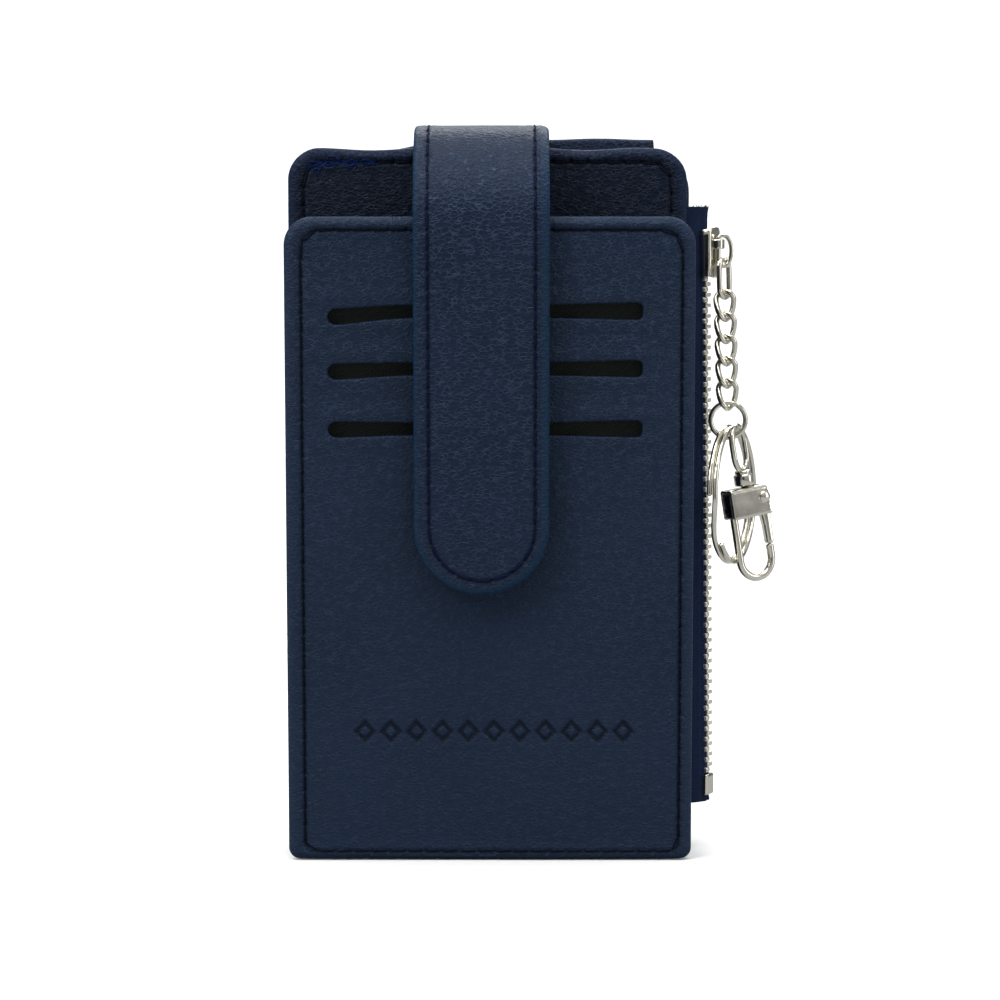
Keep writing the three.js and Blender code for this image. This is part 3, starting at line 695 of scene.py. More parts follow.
class Plate:
    """A sheet drawn flat in millimetres, with rounded edges, seams and relief.

    loops: the outline, anticlockwise, and any holes, clockwise
    edges: the radius of each loop's edge, or a function of the points
    relief, pressed: functions that give a height, and the part of it that is darkened as painted shade
    puff: height of the swell just inside the outline
    cut: tells which points of the outline lie on a cut end, which stays square
    zones: rectangles with their own finer spacing
    painted: whether the edge is covered by a painted band
    """

    outer_steps = (0, 0.034, 0.134, 0.293, 0.5, 0.741, 1.0, 1.45)
    inner_steps = (0, 0.134, 0.5, 1.0)

    def __init__(
        self, loops, thickness, edges, seams=(), relief=None, puff=0.0, cut=None, zones=(), grid=0.75,
        back_grid=3.0, pressed=None, painted=False, least_edge=0.25,
    ):
        self.loops = loops
        self.thickness = thickness
        self.edges = edges
        self.seams = seams
        self.relief = relief
        self.puff = puff
        self.zones = zones
        self.grid = grid
        self.back_grid = back_grid
        self.pressed = pressed
        self.painted = painted
        self.least_edge = least_edge
        self.rims = [(loop, True) for loop in loops]
        if cut is not None:
            keep = ~cut(loops[0])
            start = np.flatnonzero(keep & ~np.roll(keep, 1))[0]
            self.rims[0] = (np.roll(loops[0], -start, axis=0)[: keep.sum()], False)

    def edge_distance(self, points, index=0):
        line, closed = self.rims[index]
        return distance_to(points, line, closed)

    def edge_radius(self, points, index=0):
        radius = self.edges[index]
        return radius(points) if callable(radius) else np.full(len(points), radius)

    def height(self, points, outer=True):
        top = np.full(len(points), self.thickness / 2)
        for index in range(len(self.loops)):
            away = self.edge_distance(points, index)
            radius = self.edge_radius(points, index)
            drop = np.clip(1 - away / radius, 0, 1)
            limit = np.minimum(radius, self.thickness * 0.46)
            top -= limit * (1 - np.sqrt(1 - drop * drop))
            if index == 0 and outer:
                top += self.puff * np.exp(-(((away - PUFF_INSET) / PUFF_WIDTH) ** 2))
        if outer:
            for seam in self.seams:
                top += seam.relief(points)
            if self.relief:
                top += self.relief(points)
        return top

    def on_sheet(self, points, clear):
        """The points that lie on the sheet, clear of its edges."""
        points = points[inside(points, self.loops[0])]
        for hole in self.loops[1:]:
            points = points[~inside(points, hole)]
        for loop in self.loops:
            points = points[distance_to(points, loop) > clear]
        return points

    def inner_points(self, spacing, clear, avoid):
        """A staggered grid that keeps clear of edges and, where asked to, of seams and zones."""
        (x0, z0), (x1, z1) = self.loops[0].min(0), self.loops[0].max(0)
        points = self.on_sheet(grid_points(x0, x1, z0, z1, spacing, spacing * 0.87, spacing / 2), clear)
        if avoid:
            for seam in self.seams:
                points = points[seam.distance(points) > SEAM_CLEAR]
            for x0, x1, z0, z1, _ in self.zones:
                x, z = points.T
                points = points[~((x > x0) & (x < x1) & (z > z0) & (z < z1))]
        return points

    def skin(self, outer):
        """Rings along every edge, then triangles: flat points, faces and each edge's first ring."""
        steps = self.outer_steps if outer else self.inner_steps
        points, faces, firsts, lasts, total = [], [], [], [], 0
        for index, loop in enumerate(self.loops):
            inward = left_normals(loop) * self.edge_radius(loop, index)[:, None]
            rings = total + np.arange(len(steps) * len(loop)).reshape(len(steps), -1)
            points += [loop + inward * step for step in steps]
            for first, second in zip(rings, rings[1:]):
                faces += band(first, second)
            firsts.append(rings[0])
            lasts.append(rings[-1])
            total += rings.size
        rings = np.vstack(points)
        if outer:
            narrowest = min(1.2 if callable(radius) else radius for radius in self.edges)
            clear = min(2.0 * max(self.least_edge, narrowest), 1.6)
            extra = [seam.rows() for seam in self.seams]
            for x0, x1, z0, z1, spacing in self.zones:
                extra.append(self.on_sheet(grid_points(x0, x1, z0, z1, spacing, spacing), clear))
            extra = np.vstack([*extra, self.inner_points(self.grid, clear, True)])
        else:
            extra = self.inner_points(self.back_grid, min(2.5, self.back_grid), False)
        flat, triangles, home = fill([rings[last] for last in lasts], extra)
        index = np.full(len(flat), -1)
        index[home] = np.concatenate(lasts)
        fresh = index < 0
        index[fresh] = total + np.arange(fresh.sum())
        return np.vstack([rings, flat[fresh]]), faces + index[triangles].tolist(), firsts

    def build(self, name, place, material, inner_material=None):
        outer, outer_faces, outer_firsts = self.skin(True)
        inner, inner_faces, inner_firsts = self.skin(False)
        shift = len(outer)
        flat = np.vstack([outer, inner])
        height = np.concatenate([self.height(outer), -self.height(inner, outer=False)])
        faces = outer_faces + [[v + shift for v in face[::-1]] for face in inner_faces]
        for first, second in zip(outer_firsts, inner_firsts):
            faces += band(second + shift, first)
        away = self.edge_distance(flat)
        # the rim mask: the real edge paint on painted sheets, and a painted highlight along the rounded rims
        # of the others
        if self.painted:
            rim = np.clip((PAINT_REACH - away / self.edge_radius(flat)) / PAINT_FADE, 0, 1)
        else:
            rim = np.exp(-((away / RIM_WIDTH) ** 2))
        rim[shift:] *= away[shift:] < 0.3
        # painted shade in the sunken places: the stitch lines and the pressed marks
        sunk = np.zeros(len(flat))
        for seam in self.seams:
            sunk[:shift] += np.exp(-((seam.distance(outer) / SEAM_SHADE) ** 2))
        if self.pressed:
            sunk[:shift] += np.clip(self.pressed(outer) / -0.3, 0, 1) * 0.8
        obj = solid(name, place(flat[:, 0], flat[:, 1], height), faces, flat, material)
        add_values(obj.data, "rim", rim)
        add_values(obj.data, "sunk", np.clip(sunk, 0, 1))
        if inner_material:
            obj.data.materials.append(inner_material)
            index = np.zeros(len(faces), np.int32)
            index[len(outer_faces):len(outer_faces) + len(inner_faces)] = 1
            obj.data.polygons.foreach_set("material_index", index)
        return obj


def metal_plate(loops, thickness, edge, grid=0.5, relief=None, **more):
    return Plate(loops, thickness, [edge] + [0.12] * (len(loops) - 1), relief=relief, grid=grid, **more)


def stitches(name, seam, plate, place, material=NAVY_THREAD, thread=THREAD, skip=()):
    """One short sunk thread between each pair of neighbouring holes."""
    holes = seam.holes
    rows, sides = 9, 8
    turn = circle(sides)
    t = np.linspace(0.04, 0.96, rows)
    ends = np.clip(np.minimum(t, 1 - t) / 0.16, 0, 1)
    parts = []
    for k in range(len(holes) if seam.closed else len(holes) - 1):
        if k in skip:
            continue
        start, end = holes[k], holes[(k + 1) % len(holes)]
        length = np.linalg.norm(end - start)
        along = (end - start) / length
        side = np.array([-along[1], along[0]])
        middle = start + along * (t * length)[:, None] + side * ((t - 0.5) * 0.16)[:, None]
        uneven = 0.93 + 0.14 * (k * 7 % 5) / 5
        radius = (thread * uneven * np.sqrt(np.clip(1 - (1 - ends) ** 2, 0.05, 1)))[:, None]
        surface = (plate.height(middle) - 0.16 * (1 - ends) ** 2 + 0.13)[:, None]
        spots = middle[:, None] + side * (radius * np.cos(turn))[..., None]
        points = np.dstack([spots, surface + radius * np.sin(turn)]).reshape(-1, 3)
        flat = np.stack(np.broadcast_arrays((t * length + k * 1.7)[:, None], turn * thread), axis=-1)
        parts.append((points, ring_faces(rows, sides), flat.reshape(-1, 2)))
    points, faces, flat = joined(parts)
    return solid(name, place(*points.T), faces, flat, material)


def ripple(size, reach, seed):
    """Slow swells that keep a panel from being perfectly flat."""
    def relief(points):
        x, z = points[:, 0] / reach, points[:, 1] / reach
        wave = np.sin(x * 2.1 + seed) * np.cos(z * 1.7 - seed * 0.7)
        return size * (wave + 0.5 * np.sin(x * 4.3 - z * 3.1 + seed * 2))
    return relief


# ======== Where sheets lie ========
class Path:
    """A bent line in a plane that a flat sheet follows; outward is to the right of its run."""

    def __init__(self, points, soften=0):
        self.points = points
        self.run = run_along(points)
        self.length = self.run[-1]
        forward = tangents(points)
        for _ in range(soften):
            forward[1:-1] = (forward[:-2] + forward[1:-1] * 2 + forward[2:]) / 4
        forward /= np.linalg.norm(forward, axis=1)[:, None]
        self.normal = np.stack([forward[:, 1], -forward[:, 0]], axis=1)

    def at(self, s, h):
        return tuple(
            np.interp(s, self.run, self.points[:, k]) + h * np.interp(s, self.run, self.normal[:, k])
            for k in (0, 1)
        )


def curved(points, spacing):
    return Path(smooth_line(points, spacing), soften=3)


def follow(path, free, matrix=None):
    """Places a sheet along a path in a plane; its width runs along the axis that is free."""
    def place(u, s, h):
        columns = list(path.at(s, h))
        columns.insert(free, u)
        return moved(np.stack(columns, axis=1), matrix)
    return place


def upright(middle_y, facing=-1):
    """Places a flat sheet upright; its outer side faces -Y, or +Y with facing=1."""
    def place(x, z, h):
        return np.stack([x, middle_y + facing * h, z], axis=1)
    return place


def leaning(middle_y):
    """Places a sheet of the front section, which leans forward about its base."""
    def place(x, z, h):
        y = middle_y - h - LEAN_PIVOT[0]
        up = z - LEAN_PIVOT[1]
        c, s = math.cos(LEAN), math.sin(LEAN)
        return np.stack([x, LEAN_PIVOT[0] + y * c - up * s, LEAN_PIVOT[1] + y * s + up * c], axis=1)
    return place


def along(matrix, order, offset=0.0):
    """Places a flat sheet in a matrix's frame; order gives the axes of its width, length and height."""
    def place(u, v, h):
        columns = [None, None, None]
        for axis, values in zip(order, (u, v, h + offset)):
            columns[axis] = values
        return moved(np.stack(columns, axis=1), matrix)
    return place


def spun(angle, axis):
    return Matrix.Rotation(angle, 4, axis)


def turned(x, y, z):
    return spun(x, "X") @ spun(y, "Y") @ spun(z, "Z")


def shifted(x, y, z):
    return Matrix.Translation((x, y, z))


# ======== Ties to the CAD model ========
BODY_OF = {node: body for body, nodes in frame["record"]["behaviour"]["bodies"].items() for node in nodes}


def attach(node, *objects, slot="nickel"):
    """The objects stand in for a CAD node: they ride its body, and the first replaces it."""
    for obj in objects:
        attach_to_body(obj, BODY_OF[node])
    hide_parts(node)


def sewn_panel(node, plate, place, material, slot, skip=()):
    """A leather panel and the stitches of its one seam."""
    attach(node, plate.build(f"{node}_leather", place, material), slot=slot)
    thread = stitches(f"{node}_stitching", plate.seams[0], plate, place, skip=skip)
    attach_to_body(thread, "wallet")


# ======== Front section ========
FRONT_THICKNESS = 1.7
FRONT_LOW, FRONT_TOP = 0.3, 115.0
SLOT_DROOPS = (1.0, 0.55, 0.15)
SLOT_EDGE = 0.32
LOZENGE_LEFT, LOZENGE_RIGHT = -24.5, 26.0
LOZENGE_Z = 23.6
LOZENGE_HALF = 2.2
LOZENGES = 11


def slot_loop(z, droop):
    """Clockwise outline of a card slot; its round left-hand end hangs, its right-hand end is blunter."""
    t = (1 - np.cos(np.linspace(0, math.pi, 160))) / 2
    x = SLOT_LEFT + (SLOT_RIGHT - SLOT_LEFT) * t
    near_left = np.exp(-(((x - SLOT_LEFT) / 9.0) ** 2))
    half = 1.12 + 0.3 * near_left + 0.38 * np.exp(-(((x - SLOT_RIGHT) / 11.0) ** 2))
    left = np.clip((x - SLOT_LEFT) / 1.5, 0, 1)
    right = np.clip((SLOT_RIGHT - x) / 1.2, 0, 1)
    rise = half * np.sqrt(1 - (1 - left) ** 2) * (1 - (1 - right) ** 3) ** (1 / 3)
    middle = z - droop * near_left
    upper = np.stack([x, middle + rise], axis=1)
    lower = np.stack([x, middle - rise], axis=1)
    return even(np.vstack([upper, lower[::-1][1:-1]]), 0.3)


def lozenge_band(points):
    """A debossed row of plain lozenges."""
    x, z = points[:, 0], points[:, 1] - LOZENGE_Z
    pitch = (LOZENGE_RIGHT - LOZENGE_LEFT) / LOZENGES
    within = (x > LOZENGE_LEFT) & (x < LOZENGE_RIGHT) & (abs(z) < LOZENGE_HALF + 1)
    local = (x - LOZENGE_LEFT) % pitch - pitch / 2
    shape = abs(local) / (pitch * 0.44) + abs(z) / LOZENGE_HALF
    ring = np.clip((0.30 - abs(shape - 0.74)) / 0.1, 0, 1)
    return np.where(within, -0.34 * ring * ring * (3 - 2 * ring), 0.0)


def front_relief(points):
    """Ripples, the pressed lozenges, and the swells that the slots leave above and below them."""
    height = ripple(0.10, 26.0, 0.4)(points) + lozenge_band(points)
    across = (points[:, 0] > SLOT_LEFT - 3) & (points[:, 0] < SLOT_RIGHT + 3)
    for z in SLOT_HEIGHTS:
        above = points[:, 1] - z
        swell = 0.16 * np.exp(-(((above - 2.6) / 1.3) ** 2)) + 0.10 * np.exp(-(((above + 2.4) / 1.0) ** 2))
        height += np.where(across, swell, 0)
    return height


def build_front():
    half = box("front_panel")[1].x
    radii = (BOTTOM_CORNER, BOTTOM_CORNER, CORNER, CORNER)
    outline = rounded_rectangle(-half, half, FRONT_LOW, FRONT_TOP, radii)
    line = rounded_rectangle(
        -half + 3.0, half - 2.3, FRONT_LOW + 1.6, FRONT_TOP - 2.3, (1.5, 1.5, 3.6, 3.6), 0.35,
    )
    slots = [slot_loop(z, droop) for z, droop in zip(SLOT_HEIGHTS, SLOT_DROOPS)]
    zone = (LOZENGE_LEFT - 0.6, LOZENGE_RIGHT + 0.6, LOZENGE_Z - 2.8, LOZENGE_Z + 2.8, 0.3)
    plate = Plate(
        [outline] + slots, FRONT_THICKNESS, [1.5] + [SLOT_EDGE] * len(slots), [Seam(line)], front_relief,
        puff=0.22, zones=[zone], pressed=lozenge_band,
    )
    place = leaning(FRONT_FACE_Y + FRONT_THICKNESS / 2)
    sewn_panel("front_panel", plate, place, FRONT_LEATHER, "front_leather")


# ======== Zip section: two panels with their seams ========
BACK_TAB_LEFT, BACK_TAB_RIGHT = -24.0, 30.2
BACK_TAB_RISE = 2.9
TACK_LEFT, TACK_RIGHT = -30.0, -19.5
TACK_STRANDS = 5
TACK_THREAD = 0.1


def panel_seam(low, high, top_margin):
    return Seam(
        rounded_rectangle(low.x + 2.8, high.x - 2.8, 2.2, high.z - top_margin, (1.5, 1.5, 4, 4), 0.35),
    )


def build_middle():
    low, high = box("middle_panel")
    radii = (BOTTOM_CORNER, BOTTOM_CORNER, CORNER + 0.6, CORNER + 0.6)
    outline = rounded_rectangle(low.x, high.x, 0, high.z, radii)
    near_top = np.clip((outline[:, 1] - high.z + 6) / 6, 0, 1)
    outline[:, 1] -= near_top * 0.2 * (1 + np.sin(outline[:, 0] * 0.33 + 2.2))
    seam = panel_seam(low, high, 2.6)
    plate = Plate([outline], high.y - low.y, [1.4], [seam], ripple(0.09, 21.0, 1.9), puff=0.2)
    place = upright((low.y + high.y) / 2)
    tack = [k for k, (x, z) in enumerate(seam.holes) if z > high.z - 4 and TACK_LEFT < x < TACK_RIGHT]
    sewn_panel("middle_panel", plate, place, MIDDLE_LEATHER, "middle_leather", skip=tack)
    knot = tacking("middle_panel_back_tack", seam, tack, plate, place)
    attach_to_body(knot, "wallet")


def tacking(name, seam, chosen, plate, place):
    """Loose thread ends and doubled stitches where the seam was closed."""
    parts = []
    generator = np.random.default_rng(11)
    t = np.linspace(0, 1, 12)
    arch = np.sin(t * math.pi)
    for k in chosen:
        start, end = seam.holes[k], seam.holes[(k + 1) % len(seam.holes)]
        step = end - start
        side = np.array([-step[1], step[0]]) / np.linalg.norm(step)
        for strand in range(TACK_STRANDS):
            wander = np.cumsum(generator.normal(0, 0.22, len(t))) * arch
            line = start + step * (t * generator.uniform(0.7, 1.25))[:, None]
            line = line + side * (wander + (strand - TACK_STRANDS // 2) * 0.15)[:, None]
            lift = plate.height(line) + 0.02 + 0.16 * arch * generator.uniform(0.3, 1.3)
            parts.append(tube(place(*line.T, lift), TACK_THREAD, 6))
    return solid(name, *joined(parts), BLUE_THREAD)


def back_outline(low, high):
    """The back panel: rounded corners and a raised middle stretch behind the strap."""
    shoulder = high.z - BACK_TAB_RISE
    corners = rounded_rectangle(low.x, high.x, 0, shoulder, (BOTTOM_CORNER, BOTTOM_CORNER, 6.5, 5.5), 0.2)
    x, z = corners.T
    left = np.clip((x - BACK_TAB_LEFT) / 19.0, 0, 1)
    right = np.clip((BACK_TAB_RIGHT - x) / 0.9, 0, 1)
    top = z > shoulder - 0.01
    smooth = left * left * (3 - 2 * left)
    lift = np.where(top, BACK_TAB_RISE * smooth * np.sqrt(1 - (1 - right) ** 2), 0)
    lift += np.where(top & (lift > 0), 0.12 * np.sin(x * 0.35 + 1.0), 0)
    return even(np.stack([x, z + lift], axis=1), 0.45)


def build_back():
    low, high = box("back_panel")
    seam = panel_seam(low, high, 4.4)
    outline = back_outline(low, high)
    plate = Plate([outline], high.y - low.y, [0.78], [seam], ripple(0.10, 25.0, 3.3), puff=0.14)
    sewn_panel("back_panel", plate, upright((low.y + high.y) / 2, 1), BACK_LEATHER, "back_leather")


# ======== Closing strap ========
STRAP_THICKNESS = 1.9
STRAP_SEAM = 2.5
STRAP_STITCH = 3.4
STRAP_SEAM_DEPTH = 0.8
STRAP_THREAD_RADIUS = 0.15
STRAP_ROOT_Y = 6.1
BOX_STITCH_Z = 120.0


def tongue_point(z):
    return (FRONT_FACE_Y - 3.14 - math.sin(LEAN) * (z - LEAN_PIVOT[1]), z)


STRAP_LINE = [
    (STRAP_ROOT_Y, 92.0), (STRAP_ROOT_Y, 112.0), (STRAP_ROOT_Y, 122.0), (6.15, 127.2), (5.6, 129.25),
    (4.3, 129.95), (1.5, 130.0), (-2.0, 130.0), (-5.0, 129.9), (-7.1, 129.75), (-9.4, 129.3), (-12.2, 128.0),
    (-15.4, 125.2), (-18.7, 121.0), (-20.4, 117.0),
    tongue_point(112), tongue_point(96), tongue_point(80), tongue_point(64), tongue_point(STRAP_TIP_Z),
]


def strap_edge(points):
    """Width of the rounded, painted edge: broader on the right-hand side."""
    low, high = box("strap_tongue")
    share = np.clip((points[:, 0] - low.x) / (high.x - low.x), 0, 1)
    return 0.8 + 0.65 * share * share * (3 - 2 * share)


def strap_loop(x0, x1, s0, s1, start_radius, end_radius):
    """Anticlockwise loop in X and the run along the strap; a radius of 0 marks the cut end."""
    step = 0.45
    r, q = start_radius, end_radius
    corners = (
        (x0 + r, s0 + r, r, 180), (x1 - r, s0 + r, r, 270), (x1 - q, s1 - q, q, 0), (x0 + q, s1 - q, q, 90),
    )
    parts = []
    for (cx, cs, radius, start), (next_x, next_s, next_radius, _) in zip(corners, corners[1:] + corners[:1]):
        if radius:
            count = max(3, round(radius * math.pi / 2 / step))
            angle = np.radians(start + 90 * np.arange(count) / count)
            parts.append(np.stack([cx + radius * np.cos(angle), cs + radius * np.sin(angle)], axis=1))
        way = np.round([math.cos(math.radians(start + 90)), math.sin(math.radians(start + 90))])
        a = np.array([cx, cs]) + way * radius
        b = np.array([next_x, next_s]) + way * next_radius
        count = max(2, round(math.dist(a, b) / step))
        parts.append(a + (b - a) * np.arange(count)[:, None] / count)
    return np.vstack(parts)


def build_strap():
    """Two sheets that meet on the bridge."""
    path = curved(STRAP_LINE, 0.25)
    place = follow(path, 0)
    low, high = box("strap_tongue")
    x0, x1 = low.x, high.x
    over = path.points[:, 1] > 129
    cut = float(path.run[over][np.argmin(abs(path.points[over, 0] + 0.5))])
    left, right, lowest = x0 + STRAP_SEAM, x1 - STRAP_SEAM, path.length - STRAP_SEAM
    tip = STRAP_TIP_RADIUS - STRAP_SEAM
    turn = np.linspace(0, math.pi, 40)
    arc = np.stack([right - tip + tip * np.cos(turn), lowest - tip + tip * np.sin(turn)], axis=1)
    front_line = np.vstack([[(right, cut)], arc, [(left, cut)]])
    rear_line = np.array([(right, cut), (right, STRAP_SEAM), (left, STRAP_SEAM), (left, cut)])
    off_root = abs(path.points[:, 0] - STRAP_ROOT_Y) * 9
    across = path.run[np.argmin(abs(path.points[:, 1] - BOX_STITCH_Z) + off_root)]
    cross_line = np.array([(left, across), (right, across)])
    front_seam = Seam(front_line, closed=False, pitch=STRAP_STITCH, depth=STRAP_SEAM_DEPTH)
    rear_seam = Seam(rear_line, closed=False, pitch=STRAP_STITCH, outward=1, depth=STRAP_SEAM_DEPTH)
    cross_seam = Seam(cross_line, closed=False, pitch=2.9, outward=1, depth=STRAP_SEAM_DEPTH)

    def on_cut(p):
        return (abs(p[:, 1] - cut) < 1e-6) & (p[:, 0] > x0 + 1e-6) & (p[:, 0] < x1 - 1e-6)

    for name, loop, seams, bodies, start, end, nodes in (
        (
            "strap_rear_leather", strap_loop(x0, x1, 0.0, cut, 3.0, 0), [rear_seam, cross_seam],
            ("wallet", "strap_bridge"), (0, 6.1, 124.5), (0, 1.8, 130.0), ("strap_anchor",),
        ),
        (
            "strap_front_leather", strap_loop(x0, x1, cut, path.length, 0, STRAP_TIP_RADIUS - 0.05),
            [front_seam], ("strap_bridge", "strap_tongue"), (0, -1.0, 130.0), (0, -12.0, 128.0),
            ("strap_bridge", "strap_tongue", "strap_lining"),
        ),
    ):
        plate = Plate(
            [loop], STRAP_THICKNESS, [strap_edge], seams, ripple(0.06, 17.0, 5.1), cut=on_cut, grid=0.65,
            back_grid=1.0, painted=True,
        )
        strap = plate.build(name, place, STRAP_LEATHER, inner_material=UNDERSIDE_LEATHER)
        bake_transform(strap)
        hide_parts(*nodes)
        for index, seam in enumerate(seams):
            thread = stitches(
                f"{name}_thread_{index + 1}", seam, plate, place, STRAP_THREAD, thread=STRAP_THREAD_RADIUS,
            )
            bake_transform(thread)


# ======== Linings, card pockets and gussets ========
GUSSET_BACK_Y = -5.22
GUSSET_SIDE_X = 34.3
GUSSET_LOW, GUSSET_HIGH = 6.4, 111


def lining(node, loop, thickness, place, material, slot, seed, size=0.04):
    plate = Plate([loop], thickness, [0.2], relief=ripple(size, 13.0, seed), grid=2.2)
    cloth = plate.build(f"{node}_cloth", place, material)
    attach(node, cloth, slot=slot)


def build_linings():
    outline = rounded_rectangle(-33.6, 33.5, 1.7, 125, (1, 1, 3, 3), 0.8)
    for node, middle, facing, seed in (("back_lining", 2.75, -1, 0.3), ("middle_lining", -2.75, 1, 2.1)):
        lining(node, outline, 0.44, upright(middle, facing), BLACK_TWILL, "lining_twill", seed, 0.05)
    outline = rounded_rectangle(-35, 35, 1, 114, (1.5, 1.5, 4, 4), 0.8)
    lining("front_lining", outline, 0.5, leaning(-7.3), GUSSET_CLOTH, "gusset_fabric", 1.2)
    for name, low, high, y in (("top", 58, 102, -10.0), ("middle", 46, 101, -9.1), ("low", 34, 100, -8.2)):
        outline = rounded_rectangle(-31.5, 31.5, low, high, 1.5, 0.8)
        lining(f"card_pocket_{name}", outline, 0.5, leaning(y), BLACK_TWILL, "lining_twill", low * 0.1)


def gusset_grid(side):
    """Rows of points across a side gusset, which folds inward, from its foot to its top."""
    u = np.linspace(0, 1, 17)
    back = GUSSET_BACK_Y
    grid = []
    for z in np.linspace(GUSSET_LOW, GUSSET_HIGH, 90):
        front = LEAN_PIVOT[0] + 0.3 - math.sin(LEAN) * (z - LEAN_PIVOT[1])
        depth = min(3.2, 0.55 * (back - front)) * (1 + 0.08 * math.sin(z * 0.21 + side))
        fold = np.sin(math.pi * u) ** 0.85 * depth + 0.08 * np.sin(z * 0.5 + u * 9)
        x = side * (GUSSET_SIDE_X - fold)
        grid.append(np.stack([x, back + (front - back) * u, np.full(len(u), z)], axis=1))
    return np.array(grid)


def build_gussets():
    for side, node in ((-1, "gusset_left"), (1, "gusset_right")):
        grid = gusset_grid(side)
        cloth, area = shell(f"{node}_cloth", grid, 0.5, GUSSET_CLOTH)
        attach(node, cloth, slot="gusset_fabric")
        widest = run_along(grid[-1])[-1] * MM
    outline = rounded_rectangle(-34, 34, 0.4, 6, 0.6, 0.4)
    strip = Plate([outline], 1.5, [0.6], relief=ripple(0.05, 9.0, 1.0), grid=1.2)
    # the base strip wears the middle leather, darkened as painted shade
    leather_strip = strip.build("base_gusset_leather", upright(-5.95), MIDDLE_LEATHER)
    attach("base_gusset", leather_strip, slot="middle_leather")
    path = Path(filleted([(33.5, 0.6), (-34.5, 0.6), (-34.5, 125.9), (30.2, 125.9)], (1.6, 5.2), 0.4))
    outline = rounded_rectangle(-3, 3, 0, path.length, 0.4, 0.5)
    swells = ripple(0.04, 9.0, 4.0)
    strip = Plate([outline], 1.2, [0.45], relief=lambda p: swells(p) - 0.04, grid=1.2)
    leather_strip = strip.build("pocket_gusset_leather", follow(path, 1), BACK_LEATHER)
    attach("pocket_gusset", leather_strip, slot="back_leather")


# ======== Zip ========
ZIP = shifted(ZIP_LINE_X, 0, 0) @ spun(-ZIP_TURN, "Z")
ZIP_FACE = (1, 2, 0)
TAPE_BOTTOM, TAPE_TOP = 8.5, 116.5
CORD_INSET = 2.1
FRAY_THREADS = 10
FRAY_THREAD = 0.055
# each tape runs on under its row of teeth, nearly to the middle of the zip
TAPES = {
    "front": [
        (34.1, -2.65), (35.6, -2.65), (36.7, -2.3), (37.5, -1.72), (37.85, -1.42), (38.39, -1.25),
        (38.72, -0.95), (39.0, -0.4),
    ],
    "back": [
        (34.1, 2.65), (36.4, 2.65), (38.0, 2.62), (38.95, 2.3), (39.38, 1.85), (39.4, 1.4), (39.52, 0.9),
        (39.45, 0.45), (39.18, -0.1),
    ],
}
# distance from a tooth's tip towards the tape, half depth, half height
TOOTH_SECTIONS = [
    (0.0, 0.26, 0.24), (0.05, 0.36, 0.36), (0.16, 0.44, 0.43), (0.38, 0.48, 0.45), (0.58, 0.46, 0.42),
    (0.8, 0.50, 0.42), (1.08, 0.55, 0.44), (1.32, 0.58, 0.45), (1.55, 0.58, 0.44), (1.66, 0.52, 0.38),
    (1.7, 0.38, 0.26),
]


def slant(points):
    """The closed zip leans a little: its foot stands further out than its top."""
    points = np.array(points)
    points[:, 0] += np.interp(points[:, 2], (15.0, 105.0), (0.45, -0.35))
    return points


def build_tapes():
    generator = np.random.default_rng(5)
    for side, line in TAPES.items():
        path = curved(line, 0.15)
        cord = path.length - CORD_INSET

        def place(u, z, h, path=path):
            return slant(np.stack([*path.at(u, h), z], axis=1))

        def relief(p, cord=cord):
            ridge = 0.16 * np.exp(-(((p[:, 0] - cord) / 0.3) ** 2))
            curl = np.clip((p[:, 1] - TAPE_TOP + 3) / 3, 0, 1) ** 2
            return ridge + 0.05 * np.sin(p[:, 1] * 0.9) + curl * 0.18 * np.clip(p[:, 0] - 2, 0, 2)

        outline = rounded_rectangle(0, path.length, TAPE_BOTTOM, TAPE_TOP, (0.3, 0.3, 0.3, 0.6), 0.3)
        plate = Plate([outline], 0.4, [0.18], relief=relief, grid=0.5)
        attach(f"zip_tape_{side}", plate.build(f"zip_tape_{side}_cloth", place, ZIP_TAPE), slot="zip_tape")
        threads = []
        t = np.linspace(0, 1, 6)
        for _ in range(FRAY_THREADS):
            u = generator.uniform(0.1, path.length - 0.1)
            lean_u, lean_h = generator.normal(0, 0.35, 2)
            rise = generator.uniform(0.35, 0.7)
            across = np.clip(u + lean_u * t * t, 0, path.length)
            away = generator.uniform(-0.12, 0.12) + lean_h * t * t * 0.7
            threads.append(tube(place(across, TAPE_TOP - 0.3 + rise * t, away), FRAY_THREAD, 5))
        fringe = solid(f"zip_tape_{side}_fray", *joined(threads), ZIP_THREAD)
        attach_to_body(fringe, "wallet")


def build_teeth():
    sides = 14
    c, s = np.cos(circle(sides)), np.sin(circle(sides))
    across = np.sign(c) * abs(c) ** 0.55
    up = np.sign(s) * abs(s) ** 0.55
    reach, depth, height = (column[:, None] for column in np.array(TOOTH_SECTIONS).T)
    for side, name, start in ((-1, "front", TEETH_BOTTOM), (1, "back", TEETH_BOTTOM + TOOTH_PITCH / 2)):
        y = side * (reach - 0.45) + 0 * across
        teeth = []
        for k in range(TEETH_COUNT):
            z = start + k * TOOTH_PITCH + 0.375 + height * up
            tooth = np.stack([0.6 + depth * across, y, z], axis=-1).reshape(-1, 3)
            teeth.append((tooth, ring_faces(len(TOOTH_SECTIONS), sides), tooth[:, 1:]))
        points, faces, flat = joined(teeth)
        row = solid(f"zip_teeth_{name}_metal", slant(moved(points, ZIP)), faces, flat, TOOTH_METAL)
        attach(f"zip_teeth_{name}", row)


def stop(node, x0, x1, y0, y1, z0, z1, edge, relief=None):
    plate = metal_plate([rounded_rectangle(y0, y1, z0, z1, 0.35, 0.12)], x1 - x0, edge, 0.3, relief)
    straight = along(ZIP, ZIP_FACE, (x0 + x1) / 2)
    attach(node, plate.build(f"{node}_metal", lambda u, v, h: slant(straight(u, v, h)), NICKEL))


